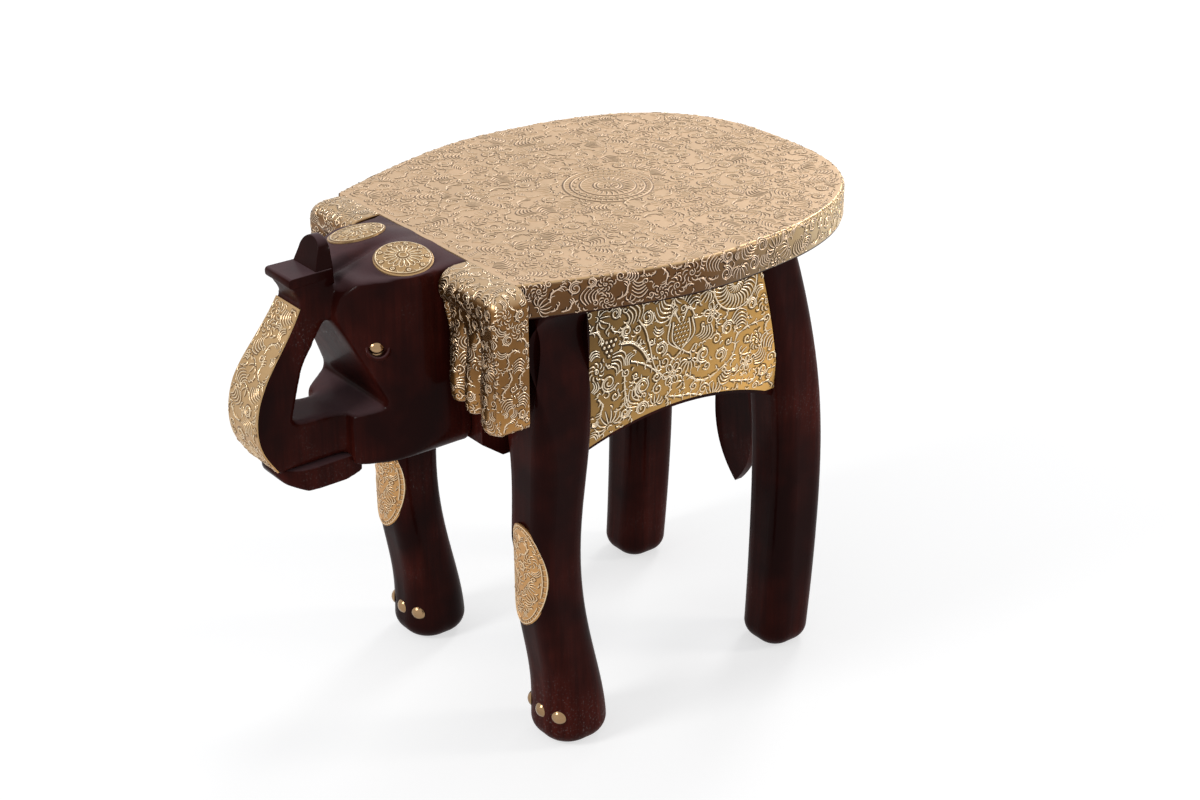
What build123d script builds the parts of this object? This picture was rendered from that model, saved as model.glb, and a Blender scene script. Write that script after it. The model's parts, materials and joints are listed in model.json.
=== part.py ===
"""Elephant stool: dark carved wood, partly clad in thin embossed brass.

Millimetres. +Z is up and the floor is z = 0. The elephant faces -Y, and its left is +X.
The origin is on the floor, under the middle of the overall length and width.
"""
from build123d import *
from math import cos, sin, pi, radians, atan2, degrees, sqrt
import os

# ---- seat ----
seat_height = 305.0          # floor to the top of the brass on the seat
seat_length = 270.0          # straight front edge to the back of the rim
seat_width = 240.0
seat_front_width = 178.0     # the straight edge between the ears
seat_widest_ahead = 164.0    # from the back of the rim to the widest place
seat_thickness = 20.3        # board with its brass
side_fullness = 1.39         # 1 is straight from the front corner to the widest place
back_fullness = 2.64         # 2 is an ellipse
sheet = 0.8                  # every brass sheet

# ---- torso ----
torso_half_width = 86.4      # wood, at the fullest height of the barrel
torso_top_half_width = 83.5
torso_foot_half_width = 80.0
torso_bulge_height = 240.0
torso_bottom = 186.0         # underside at the front legs
torso_rear_drop = 7.0        # how much lower the underside is at the hind legs
arch_rise = 15.5             # the arch between front and hind legs
chest_rise = 11.0            # the lower front edge of the torso, behind the jaw, is this much higher
chest_run = 14.0             # from there the underside slopes down to the front legs
rump_lean = 24.0             # the rump is this much further back at its foot than at its top
rump_top_ahead = 64.0        # from the back of the rim to the rump's top edge
flank_lip = 2.6              # bare wood below the flank brass
core_half_width = 53.0       # the torso between the legs
notch_share = 0.8            # how deep the flanks reach into the rounded legs, of a half width

# ---- legs ----
front_leg_x = 73.8           # leg centre at the torso, each side of the middle
front_foot_x = 74.5
front_leg_behind_edge = 31.0 # leg centre at the torso, behind the seat's front edge
front_foot_kick = 11.8       # foot centre further back than the top
front_top_half = 20.0        # half of the leg's width under the seat
front_shoulder_half = 18.7   # at the foot of the torso
front_knee_half = 17.2
front_foot_half = 21.2
hind_leg_x = 72.0
hind_knee_ahead = 54.7       # from the back of the rim to the leg centre at its fullest bow
hind_top_lean = 30.0         # the top of the leg is this much further ahead than the bow
hind_foot_kick = 4.7         # the foot comes ahead of the bow
hind_half = 18.3
hind_top_half = 16.0
foot_rounding = 11.5
knee_height = 118.0

# ---- head ----
head_half_width = 44.0
head_full_ahead = 24.0       # the head is that wide up to here, ahead of the seat edge
jaw_half_width = 24.0        # at the front of the jaw
jaw_reach = 66.0             # seat edge to the flat front of the jaw
jaw_drop = 5.0               # the underside of the head is this much lower than the chin of the trunk
hollow_reach = 47.0          # the deepest line of the hollow between trunk and face
hollow_rise = 5.0            # and its height above the root of the trunk
brow_reach = 71.5            # the forehead, where the top of the trunk lies on it
brow_drop = 25.0             # that place is this much lower than the seat
brow_facet_run = 4.0         # the facet under the trunk, ahead and up from there
brow_facet_rise = 14.0
crown_drop = 3.0             # the crown falls this much from the seat to the forehead
dome_radius = 70.0           # the two domes of the forehead
dome_x = 10.6
dome_ahead = 22.5            # dome centre ahead of the seat edge
dome_top = 4.5               # domes rise above the seat
groove_start = 16.0          # the groove between the domes begins this far ahead
groove_width = 22.0
groove_depth = 12.0
disc_radius = 16.5
disc_x = 24.0                # disc centre, each side of the middle
disc_ahead = 28.5
eye_ahead = 53.5
eye_drop = 42.0              # below the seat
eye_nail_radius = 4.0
eye_ring_radius = 6.6
eye_ring_depth = 0.8

# ---- trunk ----
trunk_reach = 120.2          # seat edge to the fullest part of the trunk, brass included
trunk_half_width = 16.0
chin_height = 197.0          # underside of the trunk's root, where the lower lip begins
root_height = 25.5           # the root of the trunk, in front of the jaw
trunk_neck_half = 12.5       # below the lips
trunk_tip_half = 9.3         # across the lips
trunk_full_rise = 29.0       # its furthest point is this much higher than the chin
trunk_thickness = 21.5
lip_thickness = 7.5
strip_margin = 0.6           # wood showing beside the brass strip
mouth_half_width = 20.0
mouth_depth = 14.5           # thickness of the lower lip
mouth_reach = 108.0
mouth_back = 58.0

# ---- ears ----
ear_depth = 21.0             # ahead of the seat edge
left_ear_outer_x = 99.0      # carved by hand: the left ear is the wider one
right_ear_outer_x = 90.0
ear_height = 82.0
ear_roll = 15.0              # radius of the rolled top corner
ear_edge_radius = 5.5
ear_lobes = 3
ear_lobe_depth = 5.0
ear_lobe_step = 2.0          # each lobe hangs this much higher than the one outside it
ear_joint = 0.2              # glue line between head and ear

# ---- tail ----
tail_width = 34.0
tail_thickness = 11.0
tail_tip_height = 73.5
tail_top_height = 222.0

# ---- knee plates, nails, pins and fixings ----
knee_plate_width = 33.0
knee_roll_radius = 19.5      # round seat of the plate on the leg
knee_plate_lean = 0.9        # the plate leans ahead at its top by this much
knee_plate_height = 66.0
knee_plate_rise = 0.3        # its middle above the knee
toe_nail_radius = 4.4
toe_nail_height = 21.5
toe_nail_step = 38.0         # degrees between toe nails
nail_shank_radius = 0.9
nail_shank_length = 9.0
pin_head_radius = 1.1
pin_shank_radius = 0.55
pin_length = 7.0
fixing_clearance = 0.12      # round every nail, pin, dowel and screw
dowel_radius = 4.0
dowel_length = 32.0
screw_radius = 2.0
screw_length = 45.0

# ---- worked out from the above ----
overall_length = seat_length + trunk_reach
back_y = overall_length / 2
front_y = back_y - seat_length
board_bottom = seat_height - seat_thickness
board_top = seat_height - sheet
seat_half = seat_width / 2
front_half = seat_front_width / 2
widest_y = back_y - seat_widest_ahead
rump_top_y = back_y - rump_top_ahead
rump_foot_y = rump_top_y + rump_lean
rump_bottom = torso_bottom - torso_rear_drop
rump_slope = rump_lean / (board_bottom - rump_bottom)
front_leg_y = front_y + front_leg_behind_edge
hind_knee_y = back_y - hind_knee_ahead
chest_height = torso_bottom + chest_rise
jaw_height = chin_height - jaw_drop
jaw_top = chin_height + root_height
hollow_height = jaw_top + hollow_rise
trunk_full_height = chin_height + trunk_full_rise
brow_height = seat_height - brow_drop
eye_height = seat_height - eye_drop
ear_bottom = seat_height - ear_height
knee_plate_centre = knee_height + knee_plate_rise
far = 400.0                  # longer than any piece, for cutters
LEFT, RIGHT = 1, -1


def ahead(distance):
    """The y of a place that far ahead of the seat's front edge."""
    return front_y - distance


def box(x0, x1, y0, y1, z0, z1):
    return Pos((x0 + x1) / 2, (y0 + y1) / 2, (z0 + z1) / 2) * Box(abs(x1 - x0), abs(y1 - y0), abs(z1 - z0))


def side_prism(edges, x0, x1):
    """A side outline in the YZ plane, pulled across from x0 to x1."""
    face = make_face(edges)
    return Pos(x0, 0, 0) * extrude(Plane.YZ * face, x1 - x0)


def mirrored(shape):
    return mirror(shape, about=Plane.YZ)


def rod(start, direction, radius, length):
    """A straight rod that starts at a point."""
    return Plane(origin=start, z_dir=direction) * extrude(Circle(radius), length)


# ---------------------------------------------------------------- seat
def seat_outline(inset=0.0):
    """The seat's outline: straight in front, full sides and a round back."""
    a, b = front_half - inset, seat_half - inset
    side = []
    for i in range(7):
        u = i / 7
        w = b - (b - a) * (1 - u) ** side_fullness
        side.append((w, front_y + (widest_y - front_y) * u))
    quarter = []
    for i in range(9):
        angle = pi / 2 * i / 9
        w = b * cos(angle) ** (2 / back_fullness)
        y = widest_y + (back_y - inset - widest_y) * sin(angle) ** (2 / back_fullness)
        quarter.append((w, y))
    left = side + quarter
    right = [(-x, y) for x, y in reversed(left)]
    curve = Spline(*left, (0, back_y - inset), *right)
    return make_face(curve + Line(right[-1], left[0]))


def make_seat_board():
    board = Pos(0, 0, board_bottom) * extrude(seat_outline(sheet), board_top - board_bottom)
    return board


def make_seat_top_sheet():
    plate = Pos(0, 0, board_top) * extrude(seat_outline(), sheet)
    return plate


def make_seat_rim_band():
    """The brass round the edge of the board, from one ear round the back to the other."""
    height = board_top - board_bottom
    band = extrude(seat_outline(), height) - extrude(seat_outline(sheet), height)
    return Pos(0, 0, board_bottom) * band


# ---------------------------------------------------------------- torso
def barrel_face(grow=0.0):
    """Cross-section of the torso, full at the flanks."""
    low = rump_bottom
    top, bulge, foot = torso_top_half_width + grow, torso_half_width + grow, torso_foot_half_width + grow
    flank = ThreePointArc((top, board_bottom), (bulge, torso_bulge_height), (foot, low))
    other = ThreePointArc((-foot, low), (-bulge, torso_bulge_height), (-top, board_bottom))
    outline = flank + Line((foot, low), (-foot, low)) + other
    outline += Line((-top, board_bottom), (top, board_bottom))
    return make_face(outline)


def flank_front_y():
    """Where the torso's flanks end, inside the rounded back of the front legs."""
    return front_leg_y + notch_share * front_top_half


def flank_rear_line():
    """Where the torso meets the hind legs: (y at the top, y at the foot of the torso)."""
    top = hind_leg_y(board_bottom) - notch_share * hind_top_half
    foot = hind_leg_y(torso_bottom) - notch_share * hind_half
    return top, foot


def arch_cutter(lift):
    """What is cut away under the belly. lift raises the cut, as for the brass above the wood's edge."""
    y0, y1 = flank_front_y(), flank_rear_line()[1]
    z0, z1 = torso_bottom + lift, rump_bottom + lift
    crown = ((y0 + y1) / 2, (z0 + z1) / 2 + arch_rise)
    arch = ThreePointArc((y0, z0), crown, (y1, z1))
    floor = 0.5 * torso_bottom
    rest = Polyline(
        (y1, z1), (back_y, z1), (back_y, floor), (front_y - 1, floor),
        (front_y - 1, chest_height), (front_y + chest_run, z0), (y0, z0),
    )
    return side_prism(arch + rest, -far / 2, far / 2)


def make_torso():
    barrel = Plane.XZ * barrel_face()
    body = Pos(0, back_y, 0) * extrude(barrel, overall_length)
    rump = side_prism(
        Polyline(
            (front_y, board_bottom), (rump_top_y, board_bottom), (rump_foot_y, rump_bottom),
            (front_y, rump_bottom), (front_y, board_bottom),
        ),
        -far / 2, far / 2,
    )
    body = body & rump
    body -= arch_cutter(0)
    top_y, foot_y = flank_rear_line()
    slope = (foot_y - top_y) / (board_bottom - torso_bottom)
    low_y = foot_y + slope * torso_rear_drop
    for side in (LEFT, RIGHT):
        corner = box(side * core_half_width, side * far / 2, front_y - 1, flank_front_y(), 0, seat_height)
        body -= corner
        hind = Polyline(
            (top_y, board_bottom), (back_y, board_bottom), (back_y, rump_bottom),
            (low_y, rump_bottom), (top_y, board_bottom),
        )
        x0, x1 = sorted((side * core_half_width, side * far / 2))
        body -= side_prism(hind, x0, x1)
    return body


def make_flank_sheet(side):
    """The embossed brass between the legs, bent round the barrel."""
    skin = Plane.XZ * (barrel_face(sheet) - barrel_face())
    skin = Pos(0, back_y, 0) * extrude(skin, overall_length)
    skin -= arch_cutter(flank_lip)
    top_y, foot_y = flank_rear_line()
    window = side_prism(
        Polyline(
            (flank_front_y(), board_bottom), (top_y, board_bottom), (foot_y, torso_bottom),
            (flank_front_y(), torso_bottom), (flank_front_y(), board_bottom),
        ),
        0, far / 2,
    )
    half = (skin & window) - front_leg_column() - hind_leg_column()
    return half if side == LEFT else mirrored(half)


# ---------------------------------------------------------------- legs
def leg_section(x, y, z, half, corner):
    return Pos(x, y, z) * RectangleRounded(2 * half, 2 * half, corner * half)


def front_leg_sections():
    """(x, y, z, half width, roundness of the corners) from the floor up."""
    sections = []
    for z, kick, half, corner in (
        (0, 1, front_foot_half, 0.86),
        (0.12, 1, front_foot_half, 0.86),
        (0.34, 0.8, 0.9 * front_foot_half, 0.78),
        (0.6, 0.3, 1.03 * front_knee_half, 0.7),
        (1, -0.22, front_knee_half, 0.62),
        (1.35, -0.12, 1.02 * front_knee_half, 0.6),
    ):
        y = front_leg_y + front_foot_kick * kick
        x = front_foot_x + (front_leg_x - front_foot_x) * min(z, 1)
        sections.append((x, y, z * knee_height, half, corner))
    sections.append((front_leg_x, front_leg_y, torso_bottom, front_shoulder_half, 0.58))
    sections.append((front_leg_x, front_leg_y, board_bottom, front_top_half, 0.55))
    return sections


def front_leg_column():
    return loft([leg_section(*s) for s in front_leg_sections()])


def hind_leg_y(z):
    """Leg centre: bowed back at the knee, coming ahead at the foot and at the torso."""
    if z < knee_height:
        u = z / knee_height
        return hind_knee_y - hind_foot_kick * (1 - u) ** 2
    u = (z - knee_height) / (board_bottom - knee_height)
    return hind_knee_y - hind_top_lean * u ** 2


def hind_leg_column():
    sections = []
    for z, share, corner in ((0, 1, 0.8), (0.12, 1, 0.78), (0.45, 1, 0.7), (1, 1, 0.62)):
        sections.append((hind_leg_x, hind_leg_y(z * knee_height), z * knee_height, hind_half * share, corner))
    steps = 4
    for i in range(1, steps + 1):
        z = knee_height + (board_bottom - knee_height) * i / steps
        half = hind_half + (hind_top_half - hind_half) * (i / steps) ** 2
        sections.append((hind_leg_x, hind_leg_y(z), z, half, 0.6))
    return loft([leg_section(*s) for s in sections])


def round_foot(leg):
    return fillet(leg.edges().group_by(Axis.Z)[0], foot_rounding)


def knee_roll(grow=0.0):
    """The round seat dressed on the front of the leg, on which the knee plate lies."""
    z0, z1 = knee_plate_centre - knee_plate_height, knee_plate_centre + knee_plate_height
    front = front_leg_y - 0.22 * front_foot_kick - front_knee_half
    lean = knee_plate_lean / knee_plate_height
    start = Vector(front_leg_x, front + knee_roll_radius + lean * knee_plate_height, z0)
    end = Vector(front_leg_x, front + knee_roll_radius - lean * knee_plate_height, z1)
    return rod(start, end - start, knee_roll_radius + grow, (end - start).length)


def knee_window():
    oval = Ellipse(knee_plate_width / 2, knee_plate_height / 2)
    return Pos(front_leg_x, front_leg_y, knee_plate_centre) * extrude(Plane.XZ * oval, far / 4)


def make_front_leg(side, torso):
    leg = round_foot(front_leg_column()) - torso
    leg -= knee_window() - knee_roll()
    return leg if side == LEFT else mirrored(leg)


def make_hind_leg(side, torso):
    leg = round_foot(hind_leg_column()) - torso
    return leg if side == LEFT else mirrored(leg)


# ---------------------------------------------------------------- head
def dome_centres():
    z = seat_height + dome_top - dome_radius
    return [(side * dome_x, ahead(dome_ahead), z) for side in (LEFT, RIGHT)]


def trunk_seat_line():
    """The slanted facet of the forehead that the top of the trunk lies on: ((y, z), (y, z))."""
    low = (ahead(brow_reach), brow_height)
    return low, (ahead(brow_reach - brow_facet_run), brow_height + brow_facet_rise)


def head_half_width_at(distance):
    """Half width of the head, that far ahead of the seat edge."""
    u = max(0.0, (distance - head_full_ahead) / (jaw_reach - head_full_ahead))
    return head_half_width - (head_half_width - jaw_half_width) * u ** 1.6


def head_plan():
    """The head from above: full at the ears, narrower at the jaw and the forehead."""
    steps = 6
    places = [jaw_reach * i / steps for i in range(steps + 1)]
    left = [(head_half_width_at(place), ahead(place)) for place in places]
    left.append((trunk_half_width, ahead(brow_reach)))
    right = [(-x, y) for x, y in reversed(left)]
    outline = Spline(*left) + Line(left[-1], right[0]) + Spline(*right) + Line(right[-1], left[0])
    return extrude(make_face(outline), seat_height + far / 4)


def head_front():
    """The head from the front: round at the chin and the crown."""
    height = seat_height + 2 * dome_top - jaw_height
    face = RectangleRounded(2 * head_half_width + 0.2, height, 15)
    prism = extrude(Plane.XZ * Pos(0, jaw_height + height / 2, 0) * face, 2 * far, both=True)
    return prism


def head_side():
    """The head from the side, with the hollow between face and trunk."""
    low, high = trunk_seat_line()
    crest = (high[0] + 8, seat_height - crown_drop)
    return side_prism(
        Polyline(
            (front_y, jaw_height), (ahead(jaw_reach), jaw_height), (ahead(jaw_reach), jaw_top),
            (ahead(hollow_reach), hollow_height), low, high, crest,
            (ahead(0.4 * head_full_ahead), seat_height), (front_y, seat_height), (front_y, jaw_height),
        ),
        -far / 2, far / 2,
    )


def forehead_groove():
    """The cutter for the V between the two domes, deeper towards the front."""
    spread = groove_width / groove_depth / 2
    wedge = make_face(Polyline((0, 0), (spread * far / 4, far / 4), (-spread * far / 4, far / 4), (0, 0)))
    fall = degrees(atan2(groove_depth + dome_top, brow_reach - groove_start))
    cutter = extrude(Plane.XZ * wedge, far / 4)
    return Pos(0, ahead(groove_start), seat_height + dome_top) * Rot(fall, 0, 0) * cutter


def eye_ring(side):
    """The groove carved round each eye."""
    step = 1.0
    run = head_half_width_at(eye_ahead - step) - head_half_width_at(eye_ahead + step)
    out = Vector(side * 2 * step, -run, 0)
    eye = Vector(side * head_half_width_at(eye_ahead), ahead(eye_ahead), eye_height)
    return Plane(origin=eye, z_dir=out) * Torus(eye_ring_radius, eye_ring_depth)


def make_head(lower_lip):
    """The head, let out for the lower lip that is set into its underside."""
    head = head_side()
    above = box(-far, far, ahead(brow_reach), front_y, brow_height + brow_facet_rise, far)
    for centre in dome_centres():
        head += (Pos(*centre) * Sphere(dome_radius)) & above
    head = head & head_plan()
    head = head & head_front()
    for centre, window in disc_windows():
        head -= Pos(*centre) * (window - Sphere(dome_radius))
    for side in (LEFT, RIGHT):
        head -= eye_ring(side)
    return head - forehead_groove() - lower_lip


def disc_windows():
    """Each disc's outline, pulled straight up out of its dome: [(dome centre, window)]."""
    windows = []
    for side, centre in zip((LEFT, RIGHT), dome_centres()):
        out, fore = side * (disc_x - dome_x), dome_ahead - disc_ahead
        up = (out, fore, sqrt(dome_radius ** 2 - out ** 2 - fore ** 2))
        windows.append((centre, Plane(origin=(0, 0, 0), z_dir=up) * extrude(Circle(disc_radius), far / 4)))
    return windows


def make_forehead_discs():
    """Two round brass discs, each bent over its dome."""
    shell = Sphere(dome_radius + sheet) - Sphere(dome_radius)
    return Compound(children=[Pos(*centre) * (shell & window) for centre, window in disc_windows()])


# ---------------------------------------------------------------- trunk
def trunk_outer():
    """The front curve of the trunk, from the chin up to the tip, in two stretches."""
    reach = trunk_reach - sheet
    chin = (ahead(reach - 0.56 * trunk_thickness), chin_height)
    full = (ahead(reach), trunk_full_height)
    neck = (ahead(reach - 0.74 * trunk_thickness), trunk_full_height + 1.79 * trunk_thickness)
    tip = (ahead(reach - 1.55 * trunk_thickness), trunk_full_height + 3.0 * trunk_thickness)
    lower = Spline(chin, full, tangents=((-1, 1.6), (0, 1)))
    return lower + Spline(full, neck, tip, tangents=((0, 1), (0.5, 1)))


def trunk_profile():
    """The trunk from the side, with its two lips."""
    outer = trunk_outer()
    start, tip = outer @ 0, outer @ 1
    low, high = trunk_seat_line()
    step = lip_thickness
    reach = trunk_reach - sheet
    lip_low = (tip.X - 0.65 * step, tip.Y + 1.5 * step)
    lip_end = (tip.X - 0.92 * step, tip.Y + 1.85 * step)
    lip_top = (tip.X - 0.4 * step, tip.Y + 2.15 * step)
    fork = (tip.X + 1.37 * step, tip.Y + 2.2 * step)
    rear_front = (fork[0] + 0.7 * step, fork[1] + 2.0 * step)
    rear_crown = (fork[0] + 1.0 * step, fork[1] + 2.2 * step)
    rear_back = (fork[0] + 1.4 * step, fork[1] + 1.9 * step)
    nape = (fork[0] + 1.35 * step, fork[1] - 0.9 * step)
    bend = (ahead(reach - 1.8 * trunk_thickness), trunk_full_height + 1.9 * trunk_thickness)
    waist = (ahead(reach - 1.46 * trunk_thickness), trunk_full_height + 1.4 * trunk_thickness)
    elbow = (ahead(reach - 1.2 * trunk_thickness), trunk_full_height + 0.65 * trunk_thickness)
    crook = (ahead(reach - trunk_thickness), jaw_top + 2)
    outline = outer + Polyline(tip, lip_low, lip_end, lip_top, fork)
    outline += Polyline(fork, rear_front, rear_crown, rear_back, nape, high, low)
    outline += Spline(low, bend, waist, elbow, crook)
    outline += Polyline(crook, (ahead(jaw_reach), jaw_top), (ahead(jaw_reach), chin_height), start)
    return make_face(outline)


def trunk_taper(margin=0.0):
    """The trunk from the front: straight to half its height, then narrower to the tip."""
    tip = trunk_outer() @ 1
    wide, neck, slim = (half - margin for half in (trunk_half_width, trunk_neck_half, trunk_tip_half))
    left = [
        (wide, chin_height - 1), (wide, trunk_full_height + trunk_thickness), (neck, tip.Y),
        (neck, tip.Y + 1.5 * lip_thickness), (slim, tip.Y + 4 * lip_thickness), (slim, seat_height + far / 4),
    ]
    right = [(-x, z) for x, z in reversed(left)]
    face = make_face(Polyline(*left, *right, left[0]))
    return Pos(0, front_y, 0) * extrude(Plane.XZ * face, far / 2)


def make_trunk():
    face = trunk_profile()
    trunk = Pos(-trunk_half_width, 0, 0) * extrude(Plane.YZ * face, 2 * trunk_half_width)
    return trunk & trunk_taper()


def make_trunk_strip(trunk):
    """Brass down the whole front of the trunk."""
    curve = trunk_outer()
    steps = 14
    inner, outer = [], []
    for i in range(steps + 1):
        u = 0.02 + 0.96 * i / steps
        along = curve % u
        out = Vector(-along.Y, along.X, 0)
        inner.append(curve @ u - out * sheet)
        outer.append(curve @ u + out * sheet)
    outline = Spline(*inner) + Line(inner[-1], outer[-1])
    outline += Spline(*reversed(outer)) + Line(outer[0], inner[0])
    band = side_prism(outline, -trunk_half_width, trunk_half_width) - trunk
    return band & trunk_taper(strip_margin)


def make_lower_lip():
    """The half-round wedge under the root of the trunk."""
    low = chin_height - mouth_depth
    side = side_prism(
        Polyline(
            (ahead(mouth_back), chin_height), (ahead(mouth_reach), chin_height),
            (ahead(mouth_reach), chin_height - 0.2 * mouth_depth), (ahead(mouth_reach - 5), low + 5),
            (ahead(mouth_reach - 16), low), (ahead(mouth_back + 10), low), (ahead(mouth_back), low + 3),
            (ahead(mouth_back), chin_height),
        ),
        -far / 8, far / 8,
    )
    middle = ahead(mouth_reach - mouth_half_width)
    plan = box(-mouth_half_width, mouth_half_width, middle, front_y, 0, far)
    plan += Pos(0, middle, 0) * extrude(Circle(mouth_half_width), far)
    return side & plan


# ---------------------------------------------------------------- ears
def ear_lobe_edge(x_in, x_out, foot):
    """The foot of an ear, from its outer corner inward: a row of lobes that rises inward."""
    width = (x_out - x_in) / ear_lobes
    edge = []
    for i in range(ear_lobes):
        right, left = x_out - width * i, x_out - width * (i + 1)
        z = foot + ear_lobe_depth + ear_lobe_step * i
        end = z if i == ear_lobes - 1 else z + ear_lobe_step
        edge.append(ThreePointArc((right, z), ((left + right) / 2, z - ear_lobe_depth), (left, end)))
    return edge


def ear_solid(outer_x, inset=0.0):
    """One ear on the +X side, with lobes at its foot. inset leaves room for the brass."""
    x_in, x_out = head_half_width + ear_joint, outer_x - inset
    top = seat_height - inset
    corner = ear_roll - inset
    lobes = ear_lobe_edge(x_in, x_out, ear_bottom + inset)
    outline = Line((x_in, top), (x_out - corner, top))
    outline += RadiusArc((x_out - corner, top), (x_out, top - corner), corner)
    outline += Line((x_out, top - corner), lobes[0] @ 0)
    for lobe in lobes:
        outline += lobe
    outline += Line(lobes[-1] @ 1, (x_in, top))
    block = Pos(0, front_y, 0) * extrude(Plane.XZ * make_face(outline), ear_depth - inset)
    rim = block.faces().sort_by(Axis.Y)[0].edges()
    above_lobes = ear_bottom + ear_lobes * ear_lobe_step + 2 * ear_lobe_depth
    rim = [e for e in rim if e.center().X > x_in + 1 and e.center().Z > above_lobes]
    return fillet(rim, ear_edge_radius - inset)


def make_ear(side, outer_x):
    ear = ear_solid(outer_x, sheet)
    return ear if side == LEFT else mirrored(ear)


def make_ear_sheet(side, outer_x):
    skin = ear_solid(outer_x) - ear_solid(outer_x, sheet)
    return skin if side == LEFT else mirrored(skin)


# ---------------------------------------------------------------- tail
def make_tail():
    """A ridged leaf that hangs from the middle of the rump."""
    top_y = rump_top_y + rump_slope * (board_bottom - tail_top_height)
    foot_z = rump_bottom
    side = side_prism(
        Polyline(
            (top_y, tail_top_height), (rump_foot_y, foot_z),
            (rump_foot_y + 0.7 * tail_thickness, tail_tip_height),
            (rump_foot_y + 1.2 * tail_thickness, tail_tip_height),
            (rump_foot_y + 1.1 * tail_thickness, foot_z), (top_y + tail_thickness, tail_top_height),
            (top_y, tail_top_height),
        ),
        -tail_width, tail_width,
    )
    leaf_z = tail_tip_height + tail_width
    half = tail_width / 2
    stem = 0.5 * half
    left = Spline((0, tail_tip_height), (half, leaf_z), (stem, foot_z), (stem, tail_top_height))
    right = Spline((-stem, tail_top_height), (-stem, foot_z), (-half, leaf_z), (0, tail_tip_height))
    leaf = make_face(left + Line((stem, tail_top_height), (-stem, tail_top_height)) + right)
    front = Pos(0, back_y, 0) * extrude(Plane.XZ * leaf, far)
    return side & front


# ---------------------------------------------------------------- knee plates, nails, pins and fixings
def make_knee_plates():
    """An oval of brass bent round the front of each front leg."""
    plate = (knee_roll(sheet) - knee_roll()) & knee_window()
    return Compound(children=[plate, mirrored(plate)])


def surface_point(solid, start, direction):
    """Where a straight line from start first meets the solid, and the outward normal there."""
    found = solid.find_intersection_points(Axis(start, direction))
    point, normal = min(found, key=lambda hit: (hit[0] - Vector(*start)).length)
    if normal.dot(Vector(*direction)) > 0:
        normal = -normal
    return point, normal


def domed_nail(point, normal, head_radius, shank_radius, length):
    """A nail with a low dome for its head, standing on a surface."""
    height = 0.5 * head_radius
    cap_radius = (head_radius ** 2 + height ** 2) / (2 * height)
    ball = Pos(0, 0, height - cap_radius) * Sphere(cap_radius)
    head = ball & box(-far, far, -far, far, 0, far)
    nail = head + Pos(0, 0, -length) * extrude(Circle(shank_radius), length + height / 4)
    return Plane(origin=point, z_dir=normal) * nail


def nail_hole(point, normal, head_radius, shank_radius, length):
    """The hole for the shank, and a flat seat for the head."""
    seat = rod(point, normal, head_radius + fixing_clearance, head_radius)
    start = Vector(*point) + Vector(*normal) * head_radius
    depth = length + head_radius + fixing_clearance
    return seat + rod(start, -Vector(*normal), shank_radius + fixing_clearance, depth)


def both_sides(spots):
    flipped = [(Vector(-p.X, p.Y, p.Z), Vector(-n.X, n.Y, n.Z)) for p, n in spots]
    return spots + flipped


def countersunk_screw(x, y, grow):
    """A screw down through the board, its head level with the top of the wood."""
    radius = screw_radius + grow
    head = Pos(x, y, board_top - radius / 2) * Cone(radius, 2 * radius, radius)
    length = screw_length + grow
    return head + Pos(x, y, board_top - length) * extrude(Circle(radius), length - radius / 2)


def leg_dowel_places():
    """Two dowels through the torso's side into each leg: (y, z)."""
    low = torso_bottom + 0.35 * (board_bottom - torso_bottom)
    high = torso_bottom + 0.75 * (board_bottom - torso_bottom)
    return [(front_leg_y, low), (front_leg_y, high), (hind_leg_y(low), low), (hind_leg_y(high), high)]


def dowel(centre, direction, radius, length):
    """A dowel and the hole for it, centred on the joint."""
    along = Vector(*direction)
    start = Vector(*centre) - along * length / 2
    gap = fixing_clearance
    return rod(start, along, radius, length), rod(start - along * gap, along, radius + gap, length + 2 * gap)


def add_dowels(parts, name, places, direction, radius, length, into):
    pins = []
    for place in places:
        pin, hole = dowel(place, direction, radius, length)
        pins.append(pin)
        for node in into:
            parts[node] = parts[node] - hole
    parts[name] = Compound(children=pins)


def add_nails(parts, name, spots, head_radius, shank_radius, length, into):
    """Nails with their holes in the pieces that they go into."""
    nails = []
    for point, normal in spots:
        nails.append(domed_nail(point, normal, head_radius, shank_radius, length))
        for node in into:
            parts[node] = parts[node] - nail_hole(point, normal, head_radius, shank_radius, length)
    parts[name] = parts[name] + nails if name in parts else nails


def toe_spots(leg):
    foot_y = front_leg_y + front_foot_kick
    spots = []
    for step in (-1, 0, 1):
        angle = radians(toe_nail_step * step)
        out = Vector(sin(angle), -cos(angle), 0)
        start = Vector(front_foot_x, foot_y, toe_nail_height) + out * far / 4
        spots.append(surface_point(leg, start, -out))
    return spots


def pins_round_plate(plate):
    """Six pins just inside the rim of the left knee plate."""
    spots = []
    for i in range(6):
        angle = pi / 6 + pi * i / 3
        x = front_leg_x + (knee_plate_width / 2 - 2.5 * pin_head_radius) * cos(angle)
        z = knee_plate_centre + (knee_plate_height / 2 - 2.5 * pin_head_radius) * sin(angle)
        spots.append(surface_point(plate, Vector(x, front_y - far / 4, z), Vector(0, 1, 0)))
    return spots


def pins_on_strip(strip):
    """Two pins at each end of the trunk strip."""
    spots = []
    low = chin_height + 7 * pin_head_radius
    high = (trunk_outer() @ 1).Y - 5 * pin_head_radius
    for z, half in ((low, trunk_half_width), (high, trunk_neck_half)):
        for x in (-half + 4 * pin_head_radius, half - 4 * pin_head_radius):
            spots.append(surface_point(strip, Vector(x, front_y - far, z), Vector(0, 1, 0)))
    return spots


def screw_places():
    """Six screws from the board down into the torso."""
    ends = (front_y + 2 * screw_length / 3, (front_y + back_y) / 2, rump_top_y - screw_length / 3)
    return [(x, y) for y in ends for x in (-0.6 * core_half_width, 0.6 * core_half_width)]


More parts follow.
